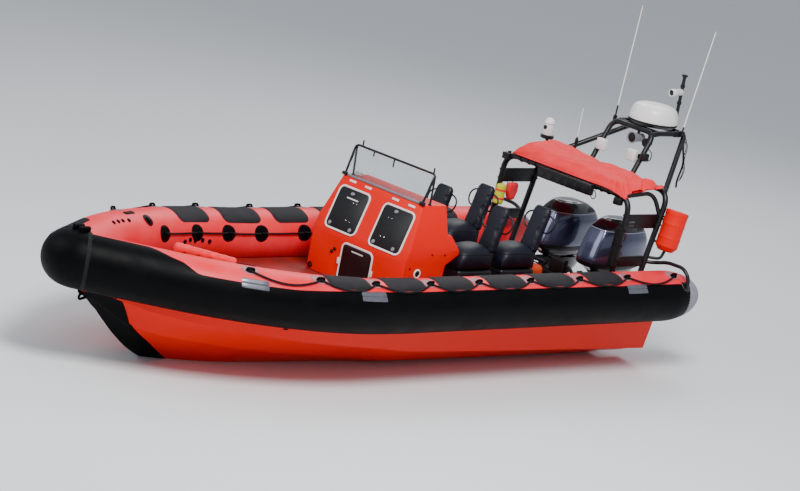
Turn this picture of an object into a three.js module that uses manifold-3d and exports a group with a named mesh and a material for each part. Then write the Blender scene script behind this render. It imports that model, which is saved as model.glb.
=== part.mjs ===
// Inshore rescue boat: a rigid V hull inside an inflated collar, with a console, jockey seats,
// a roll frame with a righting bag, a radar frame and two outboard engines.
// Millimetres. +X to the bow, +Y to port, +Z up; the origin is amidships at the running waterline.
import * as THREE from "three";
import { mergeVertices } from "three/addons/utils/BufferGeometryUtils.js";
import { RoundedBoxGeometry } from "three/addons/geometries/RoundedBoxGeometry.js";
import Module from "manifold-3d";

const wasm = await Module();
wasm.setup();

// Driving dimensions
const seat = 0.3; // gap between pieces that touch
const collar = {
  radius: 260,
  halfSpacing: 1188, // centreline of a straight side
  axisZ: 780,
  bendX: 806, // where the sides start to close in
  bendRadius: 3389,
  bendAngle: 0.64,
  sheerX: 455, // where the centreline starts to rise
  sheerRise: 166,
  sheerPower: 1.383,
  noseX: 3460, // centreline at the bow
  noseBend: 96,
  seamX: 3385, // the strap between a side tube and the nose
  sides: 20,
};
const deck = { belowAxis: 190, thick: 20 };
const transom = { x: -3000, thick: 55, top: 660, halfWidth: 700, wellHalf: 720 };
const console = {
  wall: 12,
  halfWidth: 654,
  topHalfWidth: 561,
  creaseX: -16,
  creaseZ: 1017,
  sideCreaseZ: 1150, // where the two sides start to lean in
  topFrontX: -199,
  topZ: 1559,
  topBackX: -532,
  backX: -566,
  kneeX: -735,
};
const hatch = { width: 405, height: 410, frame: 20, lift: 9, lid: 8, corner: 45 };
const helm = { x: -690, y: -400, z: 1345, tilt: 25, rim: 165, grip: 14, hub: 34, column: 30 };
const seating = { frontX: -880, y: 400, pitch: 600 };
const pod = { top: 890, half: 140, postTop: 1040, postHalf: 110 };
const cushion = { long: 462, top: 1150, half: 180, backTop: 1520, backHalf: 125, soft: 60 };
const frontHoop = { radius: 30, half: 880, topX: -2800, topZ: 1705, footX: -2722 };
const aftHoop = { radius: 30, half: 880, topX: -3370, topZ: 1770, footX: -3104 };
const canister = { y: 1000, radius: 120, lowX: -3344, lowZ: 1189, topX: -3423, topZ: 1604, taper: 50 };
const bag = { frontX: -2745, backX: -3350, thick: 82 };
const sidePanel = { low: 1395, high: 1545, thick: 14 };
const pouch = { low: 1000, high: 1420, deep: 85, half: 45 };
const lights = { deep: 68, y0: -330, y1: 412, z0: 1605, z1: 1718 };
const radar = { x: -3940, frontX: -3660, backX: -4140, half: 290, z: 2230, pipe: 28, dome: 262 };
const mastSize = { x: -4300, top: 2800, post: 14, cap: 34, cameraZ: 2611 };
const engine = { spacing: 700, tiltX: -15, tiltZ: 715, kingX: -130, shaftZ: -190, bladePitch: 62 };
const clampHalf = { inner: 105, outer: 125 };

const colour = {
  hull: [0xd83a1c, 0.45, 0],
  deck: [0xa8402c, 0.8, 0],
  rubber: [0x17181a, 0.75, 0],
  fabricRed: [0xd2333a, 0.6, 0],
  moulding: [0xcf2f1d, 0.4, 0],
  lid: [0x1c1e24, 0.25, 0],
  clear: [0xd8dcdc, 0.1, 0],
  tube: [0x1a1b1d, 0.4, 0.2],
  black: [0x141416, 0.55, 0],
  navy: [0x1d2436, 0.7, 0],
  canvas: [0xcf4a4a, 0.85, 0],
  white: [0xe6e6e2, 0.4, 0],
  grey: [0x8f9296, 0.5, 0.1],
  cowl: [0x3a3f52, 0.3, 0.3],
  metal: [0x9a9ea3, 0.4, 0.8],
  yellow: [0xd9d22a, 0.8, 0],
};

// Solids
function toSolid(geometry) {
  const bare = geometry.index ? geometry.toNonIndexed() : geometry.clone();
  for (const name of Object.keys(bare.attributes))
    if (name !== "position") bare.deleteAttribute(name);
  const merged = mergeVertices(bare, 1e-3);
  return new wasm.Manifold(
    new wasm.Mesh({
      numProp: 3,
      vertProperties: merged.attributes.position.array,
      triVerts: new Uint32Array(merged.index.array),
    }),
  );
}

function toGeometry(solid) {
  const mesh = solid.getMesh();
  return new THREE.BufferGeometry()
    .setAttribute("position", new THREE.BufferAttribute(mesh.vertProperties, 3))
    .setIndex(new THREE.BufferAttribute(mesh.triVerts, 1));
}

const big = 6000; // half the side of a box that holds the whole boat
const joined = (solids) => solids.reduce((a, b) => a.add(b));
const cut = (solid, tools) => tools.reduce((a, b) => a.subtract(b), solid);

const box = (x0, x1, y0, y1, z0, z1) =>
  toSolid(
    new THREE.BoxGeometry(x1 - x0, y1 - y0, z1 - z0).translate(
      (x0 + x1) / 2,
      (y0 + y1) / 2,
      (z0 + z1) / 2,
    ),
  );

const roundedBox = (x0, x1, y0, y1, z0, z1, radius, segments = 1) =>
  toSolid(
    new RoundedBoxGeometry(x1 - x0, y1 - y0, z1 - z0, segments, radius).translate(
      (x0 + x1) / 2,
      (y0 + y1) / 2,
      (z0 + z1) / 2,
    ),
  );

const above = (solid, z) => solid.intersect(box(-big, big, -big, big, z, big));

// A cylinder or cone from point a to point b, radius ra at a and rb at b.
function rod(a, b, ra, rb = ra, sides = 12) {
  const from = new THREE.Vector3(...a);
  const along = new THREE.Vector3(...b).sub(from);
  const turn = new THREE.Quaternion().setFromUnitVectors(
    new THREE.Vector3(0, 1, 0),
    along.clone().normalize(),
  );
  const shape = new THREE.CylinderGeometry(rb, ra, along.length(), sides);
  shape.translate(0, along.length() / 2, 0).applyQuaternion(turn);
  return toSolid(shape.translate(...from.toArray()));
}

// A side outline [x, z] pushed from y0 to y1.
function sideProfile(outline, y0, y1) {
  const shape = new THREE.Shape(outline.map(([x, z]) => new THREE.Vector2(x, z)));
  const solid = new THREE.ExtrudeGeometry(shape, { depth: y1 - y0, bevelEnabled: false });
  return toSolid(solid.rotateX(Math.PI / 2).translate(0, y1, 0));
}

// A plan outline [x, y] pushed from z0 to z1.
function planProfile(outline, z0, z1) {
  const shape = new THREE.Shape(outline.map(([x, y]) => new THREE.Vector2(x, y)));
  const solid = new THREE.ExtrudeGeometry(shape, { depth: z1 - z0, bevelEnabled: false });
  return toSolid(solid.translate(0, 0, z0));
}

function roundedPlate(width, height, depth, corner) {
  const shape = new THREE.Shape();
  const w = width / 2;
  const h = height / 2;
  shape.absarc(w - corner, h - corner, corner, 0, Math.PI / 2);
  shape.absarc(corner - w, h - corner, corner, Math.PI / 2, Math.PI);
  shape.absarc(corner - w, corner - h, corner, Math.PI, 1.5 * Math.PI);
  shape.absarc(w - corner, corner - h, corner, 1.5 * Math.PI, 2 * Math.PI);
  return new THREE.ExtrudeGeometry(shape, { depth, bevelEnabled: false, curveSegments: 4 });
}

// Rings of equal count, in order along +X, skinned into one closed body.
function loft(given) {
  const flatten = (ring) => ring.map((p) => new THREE.Vector2(p.y, p.z));
  const clockwise = THREE.ShapeUtils.area(flatten(given[0])) < 0;
  const rings = clockwise ? given.map((ring) => [...ring].reverse()) : given;
  const count = rings[0].length;
  const faces = [];
  for (let r = 0; r < rings.length - 1; r++)
    for (let i = 0; i < count; i++) {
      const a = r * count + i;
      const b = r * count + ((i + 1) % count);
      faces.push(a, b, b + count, a, b + count, a + count);
    }
  const last = (rings.length - 1) * count;
  for (const [i, j, k] of THREE.ShapeUtils.triangulateShape(flatten(rings[0]), []))
    faces.push(k, j, i);
  for (const [i, j, k] of THREE.ShapeUtils.triangulateShape(flatten(rings.at(-1)), []))
    faces.push(last + i, last + j, last + k);
  const shape = new THREE.BufferGeometry().setFromPoints(rings.flat()).setIndex(faces);
  return toSolid(shape);
}

// A route whose stations are exactly the points given, so that a pipe has rings only where it bends.
class Route extends THREE.Curve {
  constructor(points) {
    super();
    this.points = points;
  }
  getPoint(t, target = new THREE.Vector3()) {
    const place = THREE.MathUtils.clamp(t, 0, 1) * (this.points.length - 1);
    const i = Math.min(Math.floor(place), this.points.length - 2);
    return target.lerpVectors(this.points[i], this.points[i + 1], place - i);
  }
  getPointAt(t, target) {
    return this.getPoint(t, target);
  }
  getTangentAt(t, target) {
    return this.getTangent(t, target);
  }
}

// The corners of a polyline rounded to arcs of about the given radius.
function roundedRoute(corners, radius, steps = 4) {
  const points = corners.map((c) => new THREE.Vector3(...c));
  const route = [points[0]];
  for (let i = 1; i < points.length - 1; i++) {
    const back = points[i - 1].clone().sub(points[i]);
    const ahead = points[i + 1].clone().sub(points[i]);
    const reach = Math.min(radius, back.length() / 2.1, ahead.length() / 2.1);
    const start = points[i].clone().addScaledVector(back.normalize(), reach);
    const end = points[i].clone().addScaledVector(ahead.normalize(), reach);
    const bend = new THREE.QuadraticBezierCurve3(start, points[i], end);
    route.push(...bend.getPoints(steps));
  }
  route.push(points.at(-1));
  return route;
}

function pipe(corners, radius, bend = 150, sides = 10) {
  const route = roundedRoute(corners, bend);
  const circle = new THREE.Shape().absarc(0, 0, radius, 0, 2 * Math.PI);
  return toSolid(
    new THREE.ExtrudeGeometry(circle, {
      steps: route.length - 1,
      extrudePath: new Route(route),
      curveSegments: sides / 2,
      bevelEnabled: false,
    }),
  );
}

const group = new THREE.Group();
function add(name, solid, finish, parent = group) {
  const [color, roughness, metalness] = finish;
  const material = new THREE.MeshStandardMaterial({ color, roughness, metalness });
  const mesh = new THREE.Mesh(toGeometry(solid), material);
  mesh.name = name;
  parent.add(mesh);
}

// Collar: the centreline of the port tube, as stations { x, y, z, heading, radius }
const axisZAt = (x) => {
  const part = Math.max(0, x - collar.sheerX) / (collar.noseX - collar.sheerX);
  return collar.axisZ + collar.sheerRise * part ** collar.sheerPower;
};
const bendEnd = {
  x: collar.bendX + collar.bendRadius * Math.sin(collar.bendAngle),
  y: collar.halfSpacing - collar.bendRadius * (1 - Math.cos(collar.bendAngle)),
};
const centreY = (x) => {
  if (x <= collar.bendX) return collar.halfSpacing;
  if (x >= bendEnd.x) return bendEnd.y - (x - bendEnd.x) * Math.tan(collar.bendAngle);
  const inside = collar.bendRadius ** 2 - (x - collar.bendX) ** 2;
  return collar.halfSpacing - collar.bendRadius + Math.sqrt(inside);
};
const headingAt = (x) => {
  if (x <= collar.bendX) return 0;
  return -Math.min(Math.asin((x - collar.bendX) / collar.bendRadius), collar.bendAngle);
};

// Stern cone: [distance aft of the tube's end, radius]
const sternX = -3180;
const sternCone = [
  [540, 40],
  [515, 88],
  [440, 145],
  [300, 205],
  [140, 246],
];

function tubeRing(x, radius) {
  const heading = headingAt(x);
  const centre = new THREE.Vector3(x, centreY(x), axisZAt(x));
  const side = new THREE.Vector3(-Math.sin(heading), Math.cos(heading), 0);
  return Array.from({ length: collar.sides }, (_, i) => {
    const angle = (2 * Math.PI * (i + 0.5)) / collar.sides;
    return centre
      .clone()
      .addScaledVector(side, radius * Math.cos(angle))
      .add(new THREE.Vector3(0, 0, radius * Math.sin(angle)));
  });
}

function tubeSolid(grow, endX) {
  const arcs = 7;
  const bends = Array.from({ length: arcs + 1 }, (_, i) => {
    const angle = (collar.bendAngle * i) / arcs;
    return collar.bendX + collar.bendRadius * Math.sin(angle);
  });
  const cone = sternCone.map(([aft, radius]) => tubeRing(sternX - aft - grow, radius + grow));
  const run = [sternX, 100, ...bends, 3120, endX];
  return loft([...cone, ...run.map((x) => tubeRing(x, collar.radius + grow))]);
}

const mirrored = (solid) => solid.mirror([0, 1, 0]);
const portHalf = box(-big, big, seat / 2, big, -big, big);
const portTube = tubeSolid(0, collar.seamX).intersect(portHalf);
const grownTubes = [tubeSolid(0.5, 3430), mirrored(tubeSolid(0.5, 3430))];

// The rounded bow, before the side tubes take their part of it.
function noseBlank(grow) {
  const tip = { x: collar.noseX - 39, y: collar.noseBend * Math.cos(collar.bendAngle) };
  const radius = collar.radius + 1 + grow;
  const ball = (x, y) => toSolid(new THREE.SphereGeometry(radius, 20, 14).translate(x, y, axisZAt(x)));
  const side = joined([tubeSolid(grow, tip.x), ball(tip.x, tip.y)]).intersect(portHalf);
  return joined([side, mirrored(side), ball(collar.noseX, 0)]);
}

function noseSolid() {
  const aft = tubeSolid(2, collar.seamX + seat);
  const behind = box(-big, collar.seamX - 280, -big, big, -big, big);
  return cut(noseBlank(0), [behind, aft, mirrored(aft)]);
}

add("tube_port", portTube, colour.fabricRed);
add("tube_starboard", mirrored(portTube), colour.fabricRed);
add("nose_cap", noseSolid(), colour.rubber);

// Hull sections: [x, keel z, strake y, strake z, chine y, chine z]
const hullSections = [
  [-3300, -212, 560, 5, 985, 175],
  [0, -212, 620, 60, 980, 270],
  [collar.sheerX, -212, 635, 111, 975, 313],
  [1200, -212, 650, 185, 950, 380],
  [1700, -212, 590, 225, 860, 430],
  [1950, -172, 540, 245, 790, 455],
  [2200, -102, 480, 275, 700, 485],
  [2420, -20, 420, 300, 610, 510],
  [2640, 92, 340, 330, 500, 540],
  [2830, 232, 250, 375, 385, 570],
  [2990, 378, 165, 460, 270, 610],
  [3120, 505, 95, 550, 170, 640],
  [3260, 610, 30, 625, 60, 660],
];
const strakeWidth = 32;
const chineFlat = 40;

function hullRing([x, keelZ, strakeY, strakeZ, chineY, chineZ], grow) {
  const taper = Math.min(1, strakeY / 200);
  const step = strakeWidth * taper;
  const flat = chineFlat * taper;
  const topY = Math.max(centreY(x) - 90, chineY + flat + 5);
  const topZ = axisZAt(x) - deck.belowAxis - deck.thick - seat;
  const half = [
    [strakeY + grow, strakeZ - grow],
    [strakeY + step + grow, strakeZ - grow],
    [chineY + grow, chineZ - grow],
    [chineY + flat + grow, chineZ - grow],
    [topY + grow, topZ],
  ];
  const port = half.map(([y, z]) => new THREE.Vector3(x, y, z));
  const starboard = half.map(([y, z]) => new THREE.Vector3(x, -y, z)).reverse();
  return [new THREE.Vector3(x, 0, keelZ - 1.4 * grow), ...port, ...starboard];
}

function hullSolid(grow) {
  const rings = hullSections.map((section) => hullRing(section, grow));
  const [x, ...rest] = hullSections.at(-1);
  if (grow) rings.push(hullRing([x + 2 * grow, ...rest], grow));
  return loft(rings);
}

const engineWell = box(-big, transom.x, -transom.wellHalf, transom.wellHalf, -big, big);
// Top of the two sponsons beside the engine well, level with the deck
const sponsonTop = box(-3300, transom.x, -1080, 1080, 560, collar.axisZ - deck.belowAxis);
const hullBlank = joined([hullSolid(0), sponsonTop]);
add("hull", cut(hullBlank, [engineWell, ...grownTubes]), colour.hull);

// Stem guard: plan half-widths [x, y] of the black band on the keel and stem
const guardBand = [
  [900, 45],
  [1700, 75],
  [2250, 150],
  [2600, 190],
  [2950, 170],
  [3400, 120],
];
function stemGuard() {
  const outline = [...guardBand, ...guardBand.map(([x, y]) => [x, -y]).reverse()];
  const band = planProfile(outline, -big / 2, 700);
  const eye = pipe([[3262, 0, 640], [3330, 0, 600], [3330, 0, 540], [3225, 0, 560]], 11, 30, 6);
  const skin = cut(hullSolid(12).intersect(band), [hullSolid(0.4)]);
  return cut(joined([skin, cut(eye, [hullSolid(0.4)])]), grownTubes);
}
add("stem_guard", stemGuard(), colour.rubber);

function deckPlate() {
  const stations = hullSections.filter(([x]) => x < 3200).map(([x]) => x);
  const rings = stations.map((x) => {
    const z = axisZAt(x) - deck.belowAxis;
    const y = centreY(x) - 100;
    const low = z - deck.thick;
    return [[y, low], [y, z], [-y, z], [-y, low]].map(([a, b]) => new THREE.Vector3(x, a, b));
  });
  const astern = box(-big, transom.x + seat, -big, big, -big, big);
  return cut(loft(rings), [astern, ...grownTubes]);
}
add("deck", deckPlate(), colour.deck);
const deckZ = collar.axisZ - deck.belowAxis + seat;

add(
  "transom",
  box(transom.x, transom.x + transom.thick, -transom.halfWidth, transom.halfWidth, deckZ, transom.top),
  colour.moulding,
);

// Console
function insetOutline(outline, distance) {
  const count = outline.length;
  const lines = outline.map(([x0, z0], i) => {
    const [x1, z1] = outline[(i + 1) % count];
    const long = Math.hypot(x1 - x0, z1 - z0);
    const [dx, dz] = [(x1 - x0) / long, (z1 - z0) / long];
    return { x: x0 + dz * distance, z: z0 - dx * distance, dx, dz };
  });
  return lines.map((b, i) => {
    const a = lines[(i + count - 1) % count];
    const turn = a.dx * b.dz - a.dz * b.dx;
    const along = ((b.x - a.x) * b.dz - (b.z - a.z) * b.dx) / turn;
    return [a.x + a.dx * along, a.z + a.dz * along];
  });
}

const consoleOutline = [
  [console.creaseX, deckZ],
  [console.backX, deckZ],
  [console.backX - 2, 890],
  [console.backX - 8, 985],
  [console.kneeX + 7, 1083],
  [console.kneeX, 1112],
  [console.kneeX + 15, 1147],
  [-620, 1275],
  [console.backX, 1280],
  [console.topBackX, console.topZ],
  [console.topFrontX, console.topZ],
  [console.creaseX, console.creaseZ],
];

function consoleBlock(inset) {
  const outline = insetOutline(consoleOutline, inset);
  const block = sideProfile(outline, inset - console.halfWidth, console.halfWidth - inset);
  const rise = console.topZ - console.sideCreaseZ;
  const lean = Math.atan2(console.halfWidth - console.topHalfWidth, rise);
  const shave = new THREE.BoxGeometry(big, 400, 2000).translate(0, 200, 1000);
  shave.rotateX(lean).translate(0, console.halfWidth - inset, console.sideCreaseZ);
  const trim = toSolid(shave);
  return cut(block, [trim, mirrored(trim)]);
}

const panelLean = Math.atan2(console.creaseX - console.topFrontX, console.topZ - console.creaseZ);
const panelLength = Math.hypot(console.creaseX - console.topFrontX, console.topZ - console.creaseZ);
// Hatches: [name, centre y, centre height along its panel, on the raked panel, height of the lid]
const hatches = [
  ["starboard", -309, 262, true, hatch.height],
  ["port", 320, 256, true, hatch.height],
  ["lower", 12, 205, false, 350],
];

// A plate that faces forward, at a hatch's place, between two distances from the panel's face.
function onPanel([, y, along, raked, height], grow, near, far) {
  const plate = roundedPlate(hatch.width + grow, height + grow, far - near, hatch.corner + grow / 2);
  plate.translate(0, 0, near).rotateX(Math.PI / 2).rotateZ(Math.PI / 2);
  plate.translate(0, y, along);
  if (raked) plate.rotateY(-panelLean).translate(console.creaseX, 0, console.creaseZ);
  else plate.translate(console.creaseX, 0, deckZ);
  return toSolid(plate);
}

// A point on the helm's axis, a distance ahead of the wheel
function onHelmAxis(ahead) {
  const tilt = THREE.MathUtils.degToRad(helm.tilt);
  return [helm.x + ahead * Math.cos(tilt), helm.y, helm.z - ahead * Math.sin(tilt)];
}

function consoleShell() {
  const openFloor = box(-548, console.creaseX - 12, -600, 600, deckZ - 50, deckZ + 40);
  const shell = cut(consoleBlock(0), [consoleBlock(console.wall), openFloor]);
  const frames = hatches.map((h) => onPanel(h, 2 * hatch.frame, -1, hatch.lift));
  const holes = hatches.map((h) => onPanel(h, -20, -40, 40));
  const rebates = hatches.map((h) => onPanel(h, 6, 0, 40));
  const column = rod(onHelmAxis(helm.hub + 7), onHelmAxis(180), helm.column);
  return cut(joined([shell, ...frames, cut(column, [consoleBlock(1)])]), [...holes, ...rebates]);
}
add("console", consoleShell(), colour.moulding);
for (const h of hatches) add("hatch_" + h[0], onPanel(h, 0, 0.5, 0.5 + hatch.lid), colour.lid);

// Windscreen: a clear panel and its tube frame, on the console's top edge
const screen = { baseX: -206, topX: -298, topZ: 1862, baseHalf: 545, topHalf: 562, thick: 6 };
function screenPanel() {
  const height = Math.hypot(screen.topX - screen.baseX, screen.topZ - console.topZ) - 15;
  const lean = Math.atan2(screen.baseX - screen.topX, screen.topZ - console.topZ);
  const plate = new THREE.BoxGeometry(screen.thick, 2 * screen.baseHalf - 26, height);
  plate.translate(0, 0, height / 2 + seat).rotateY(-lean);
  return above(toSolid(plate.translate(screen.baseX, 0, console.topZ)), console.topZ + seat);
}
const screenFoot = console.topZ - 30;
const screenRoute = [
  [screen.baseX + 6, -screen.baseHalf, screenFoot],
  [screen.topX, -screen.topHalf, screen.topZ],
  [screen.topX, screen.topHalf, screen.topZ],
  [screen.baseX + 6, screen.baseHalf, screenFoot],
];
const screenFrame = above(pipe(screenRoute, 12, 50, 8), console.topZ + seat);
add("windscreen", cut(screenPanel(), [pipe(screenRoute, 12.4, 50, 8)]), colour.clear);
add("windscreen_frame", screenFrame, colour.tube);

// Helm wheel, made flat about Z and then tilted back to the helmsman
function helmWheel() {
  const rim = toSolid(new THREE.TorusGeometry(helm.rim, helm.grip, 8, 24));
  const hub = rod([0, 0, -40], [0, 0, 12], helm.hub, helm.hub - 4);
  const spokes = [90, 210, 330].map((angle) => {
    const turn = THREE.MathUtils.degToRad(angle);
    const reach = helm.rim - 4;
    return rod([0, 0, -12], [reach * Math.cos(turn), reach * Math.sin(turn), 0], 9, 9, 6);
  });
  return joined([rim, hub, ...spokes]);
}
const wheelGroup = new THREE.Group();
wheelGroup.position.set(helm.x, helm.y, helm.z);
wheelGroup.rotation.set(0, THREE.MathUtils.degToRad(helm.tilt - 90), 0);
group.add(wheelGroup);
add("helm_wheel", helmWheel(), colour.black, wheelGroup);

// Jockey seats: [name, x of the cushion's front, y]
const seats = [
  ["seat_1", seating.frontX, seating.y],
  ["seat_2", seating.frontX, -seating.y],
  ["seat_3", seating.frontX - seating.pitch, seating.y],
  ["seat_4", seating.frontX - seating.pitch, -seating.y],
];
const postX = -500;
const postThick = 35;
function seatPod() {
  const outline = [
    [-520, deckZ],
    [postX, pod.top],
    [-20, pod.top],
    [-60, deckZ],
  ];
  const post = box(postX, postX + postThick, -pod.postHalf, pod.postHalf, pod.top - 10, pod.postTop);
  return joined([sideProfile(outline, -pod.half, pod.half), post]);
}
function seatCushion() {
  const { long, top, half, backTop, backHalf, soft } = cushion;
  const saddle = roundedBox(-long, 0, -half, half, pod.top + seat, top, soft);
  const backrest = [
    [-545, pod.postTop + 1],
    [-655, backTop - 20],
    [-585, backTop],
    [-430, pod.postTop + 1],
  ];
  const [postY, postTop] = [pod.postHalf + 0.4, pod.postTop + 0.4];
  const slot = box(postX - 0.4, postX + postThick + 0.4, -postY, postY, pod.top - 10, postTop);
  return cut(joined([saddle, sideProfile(backrest, -backHalf, backHalf)]), [slot]);
}
for (const [name, x, y] of seats) {
  const place = new THREE.Group();
  place.position.set(x, y, 0);
  group.add(place);
  add(name + "_pod", seatPod(), colour.moulding, place);
  add(name + "_cushion", seatCushion(), colour.navy, place);
}

// Roll frame
const legX = (h, z) => h.topX + ((h.footX - h.topX) * (h.topZ - z)) / (h.topZ - deckZ);
function hoop(h, radius) {
  const under = deckZ - 60;
  const corners = [
    [legX(h, under), h.half, under],
    [h.topX, h.half, h.topZ],
    [h.topX, -h.half, h.topZ],
    [legX(h, under), -h.half, under],
  ];
  return above(pipe(corners, radius, 170, 12), deckZ);
}
const aftHoopSolid = hoop(aftHoop, aftHoop.radius);
const frontHoopSolid = hoop(frontHoop, frontHoop.radius);
const grownHoops = [frontHoop, aftHoop].map((h) => hoop(h, h.radius + seat));

// Bracket welded to the port aft leg, under the red canister
function bracket(grow) {
  const { y, lowX, lowZ } = canister;
  const corners = [
    [legX(aftHoop, 1096), aftHoop.half, 1096],
    [-3302, y, 1108],
    [lowX - 1, y, lowZ + 5],
  ];
  return pipe(corners, 16 + grow, 40, 8);
}

// Brace on each side, from under the bag's front down into the aft leg
function brace(side, grow) {
  const corners = [
    [frontHoop.topX - 10, side * 800, frontHoop.topZ],
    [-3210, side * 815, 1751],
    [legX(aftHoop, 1500), side * aftHoop.half, 1500],
  ];
  return cut(pipe(corners, 23 + grow, 170, 10), [hoop(frontHoop, frontHoop.radius + seat)]);
}
add("roll_frame_front", frontHoopSolid, colour.tube);
add("roll_frame_aft", joined([aftHoopSolid, bracket(0), brace(1, 0), brace(-1, 0)]), colour.tube);
const grownBraces = [brace(1, seat), brace(-1, seat)];

function panelBetweenLegs(y) {
  const { low, high, thick } = sidePanel;
  const front = (z) => legX(frontHoop, z) - frontHoop.radius - 1;
  const back = (z) => legX(aftHoop, z) + aftHoop.radius + 1;
  const outline = [
    [back(low), low],
    [front(low), low],
    [front(high), high],
    [back(high), high],
  ];
  return cut(sideProfile(outline, y - thick / 2, y + thick / 2), grownBraces);
}
add("side_panel_port", panelBetweenLegs(frontHoop.half), colour.black);
add("side_panel_starboard", panelBetweenLegs(-frontHoop.half), colour.black);

// Righting bag: the stowed bundle across the tops of both hoops, as sections [y, fraction of height]
function rightingBag() {
  const lean = (aftHoop.topZ - frontHoop.topZ) / (frontHoop.topX - aftHoop.topX);
  const under = (x) => frontHoop.topZ + frontHoop.radius - 4 + lean * (frontHoop.topX - x);
  const [front, back] = [bag.frontX, bag.backX];
  const sections = [
    [-770, 0.5],
    [-730, 0.95],
    [0, 1],
    [770, 1],
    [845, 0.6],
  ];
  const rings = sections.map(([y, part]) => {
    const thick = bag.thick * part;
    const outline = [
      [front, under(front)],
      [front + 12, under(front) + 0.5 * thick],
      [front - 40, under(front) + thick],
      [back + 60, under(back) + thick],
      [back + 8, under(back) + 0.5 * thick],
      [back, under(back)],
    ];
    return outline.map(([x, z]) => new THREE.Vector3(x, y, z));
  });
  return loftAcross(rings);
}

// A loft whose rings lie in planes across Y.
function loftAcross(rings) {
  const turned = rings.map((ring) => ring.map((p) => new THREE.Vector3(p.y, -p.x, p.z)));
  return toSolid(toGeometry(loft(turned)).rotateZ(Math.PI / 2));
}
add("righting_bag", cut(rightingBag(), [...grownHoops, ...grownBraces]), colour.canvas);

const lightBack = frontHoop.topX + frontHoop.radius + seat;
add(
  "light_box",
  box(lightBack, lightBack + lights.deep, lights.y0, lights.y1, lights.z0, lights.z1),
  colour.black,
);

function container() {
  const { y, radius, lowX, lowZ, topX, topZ, taper } = canister;
  const slope = (topX - lowX) / (topZ - lowZ);
  const shoulder = [lowX + taper * slope, y, lowZ + taper];
  const foot = rod([lowX, y, lowZ], shoulder, 0.65 * radius, radius, 16);
  return cut(joined([foot, rod(shoulder, [topX, y, topZ], radius, radius, 16)]), [bracket(seat)]);
}
add("container", container(), colour.moulding);

function legPouch() {
  const { low, high, deep, half } = pouch;
  const outline = [
    [legX(frontHoop, low), low],
    [legX(frontHoop, low) + deep, low],
    [legX(frontHoop, high) + deep, high],
    [legX(frontHoop, high), high],
  ];
  return cut(sideProfile(outline, frontHoop.half - half, frontHoop.half + half), grownHoops);
}
add("leg_pouch", legPouch(), colour.black);

const throwBag = rod([-2724, -807, 1175], [-2741, -807, 1405], 58, 56, 14);
add("throw_bag", cut(throwBag, grownHoops), colour.yellow);

// Radar frame on the aft hoop
function radarFrame(grow) {
  const { half, z, frontX, backX } = radar;
  const footX = aftHoop.topX - aftHoop.radius - radar.pipe + 8;
  const [frontZ, backZ] = [aftHoop.topZ - 12, aftHoop.topZ - 26];
  const front = [
    [footX, half, frontZ],
    [frontX, half, z],
    [frontX, -half, z],
    [footX, -half, frontZ],
  ];
  const rails = [1, -1].map((s) => [
    [frontX + 12, s * (half - 27), z - 24],
    [frontX - 70, s * half, z],
    [backX, s * half, z],
    [footX, s * 780, backZ],
  ]);
  const pipes = [
    pipe(front, radar.pipe + grow, 110),
    ...rails.map((r) => pipe(r, radar.pipe + grow, 80)),
    rod([backX + 20, half, z], [backX + 20, -half, z], radar.pipe + grow),
    rod([backX, 0, z], [mastSize.x, 0, z], 16 + grow),
  ];
  return cut(joined(pipes), grownHoops);
}
add("radar_frame", radarFrame(0), colour.tube);
const grownRadarFrame = radarFrame(seat);

// Radar dome profile: [radius, height over its base]
const radarProfile = [
  [0, 0],
  [225, 0],
  [245, 18],
  [radar.dome, 30],
  [radar.dome, 70],
  [238, 160],
  [215, 195],
  [165, 217],
  [0, 226],
];
const lathe = (profile, sides, x, y, z) =>
  toSolid(
    new THREE.LatheGeometry(
      profile.map(([r, h]) => new THREE.Vector2(r, h)),
      sides,
    )
      .rotateX(Math.PI / 2)
      .translate(x, y, z),
  );
const dome = lathe(radarProfile, 28, radar.x, 0, radar.z + radar.pipe - 3);
add("radar_dome", cut(dome, [grownRadarFrame]), colour.white);

function mast() {
  const { x, top, cameraZ } = mastSize;
  const post = rod([x, 0, radar.z], [x, 0, top - 20], mastSize.post);
  const cap = rod([x, 0, top - 22], [x, 0, top], mastSize.cap, mastSize.post);
  const camera = rod([x, 0, cameraZ], [x + 165, 0, cameraZ - 11], 36, 40);
  return cut(joined([post, cap, camera]), [grownRadarFrame]);
}
add("mast", mast(), colour.tube);

// Whip aerials: [name, foot x, y, z, tip x, tip z]
const aerials = [
  ["aerial_starboard", -3720, -326, 2265, -3800, 3450],
  ["aerial_port", -4050, 326, 2265, -4235, 3345],
];
for (const [name, x, y, z, tipX, tipZ] of aerials) {
  const side = Math.sign(y);
  const foot = box(x - 20, x + 20, y - 14, y + 14, z - 50, z + 10);
  const whip = rod([x, y, z], [tipX, y + 10 * side, tipZ], 9, 5, 8);
  add(name, cut(joined([foot, whip]), [grownRadarFrame]), colour.white);
}

// Thermal camera on the starboard aft corner of the roll frame: [radius, height over its base]
const thermalProfile = [
  [0, 0],
  [72, 0],
  [72, 28],
  [58, 34],
  [58, 150],
  [48, 190],
  [26, 212],
  [0, 217],
];
function thermalCamera() {
  const [x, y, z] = [aftHoop.topX, -890, 1872];
  const stalk = rod([x, -838, 1725], [x, y, z + 10], 17, 17);
  return cut(joined([stalk, lathe(thermalProfile, 18, x, y, z)]), grownHoops);
}
add("thermal_camera", thermalCamera(), colour.white);

function loudhailer() {
  const [x, y, z] = [radar.frontX, 80, radar.z - 95];
  const horn = rod([x + 100, y, z], [x - 80, y, z], 62, 45, 16);
  const clamp = box(x - 15, x + 15, y - 12, y + 12, z, radar.z);
  return cut(joined([horn, clamp]), [grownRadarFrame]);
}
add("loudhailer", loudhailer(), colour.grey);

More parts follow.
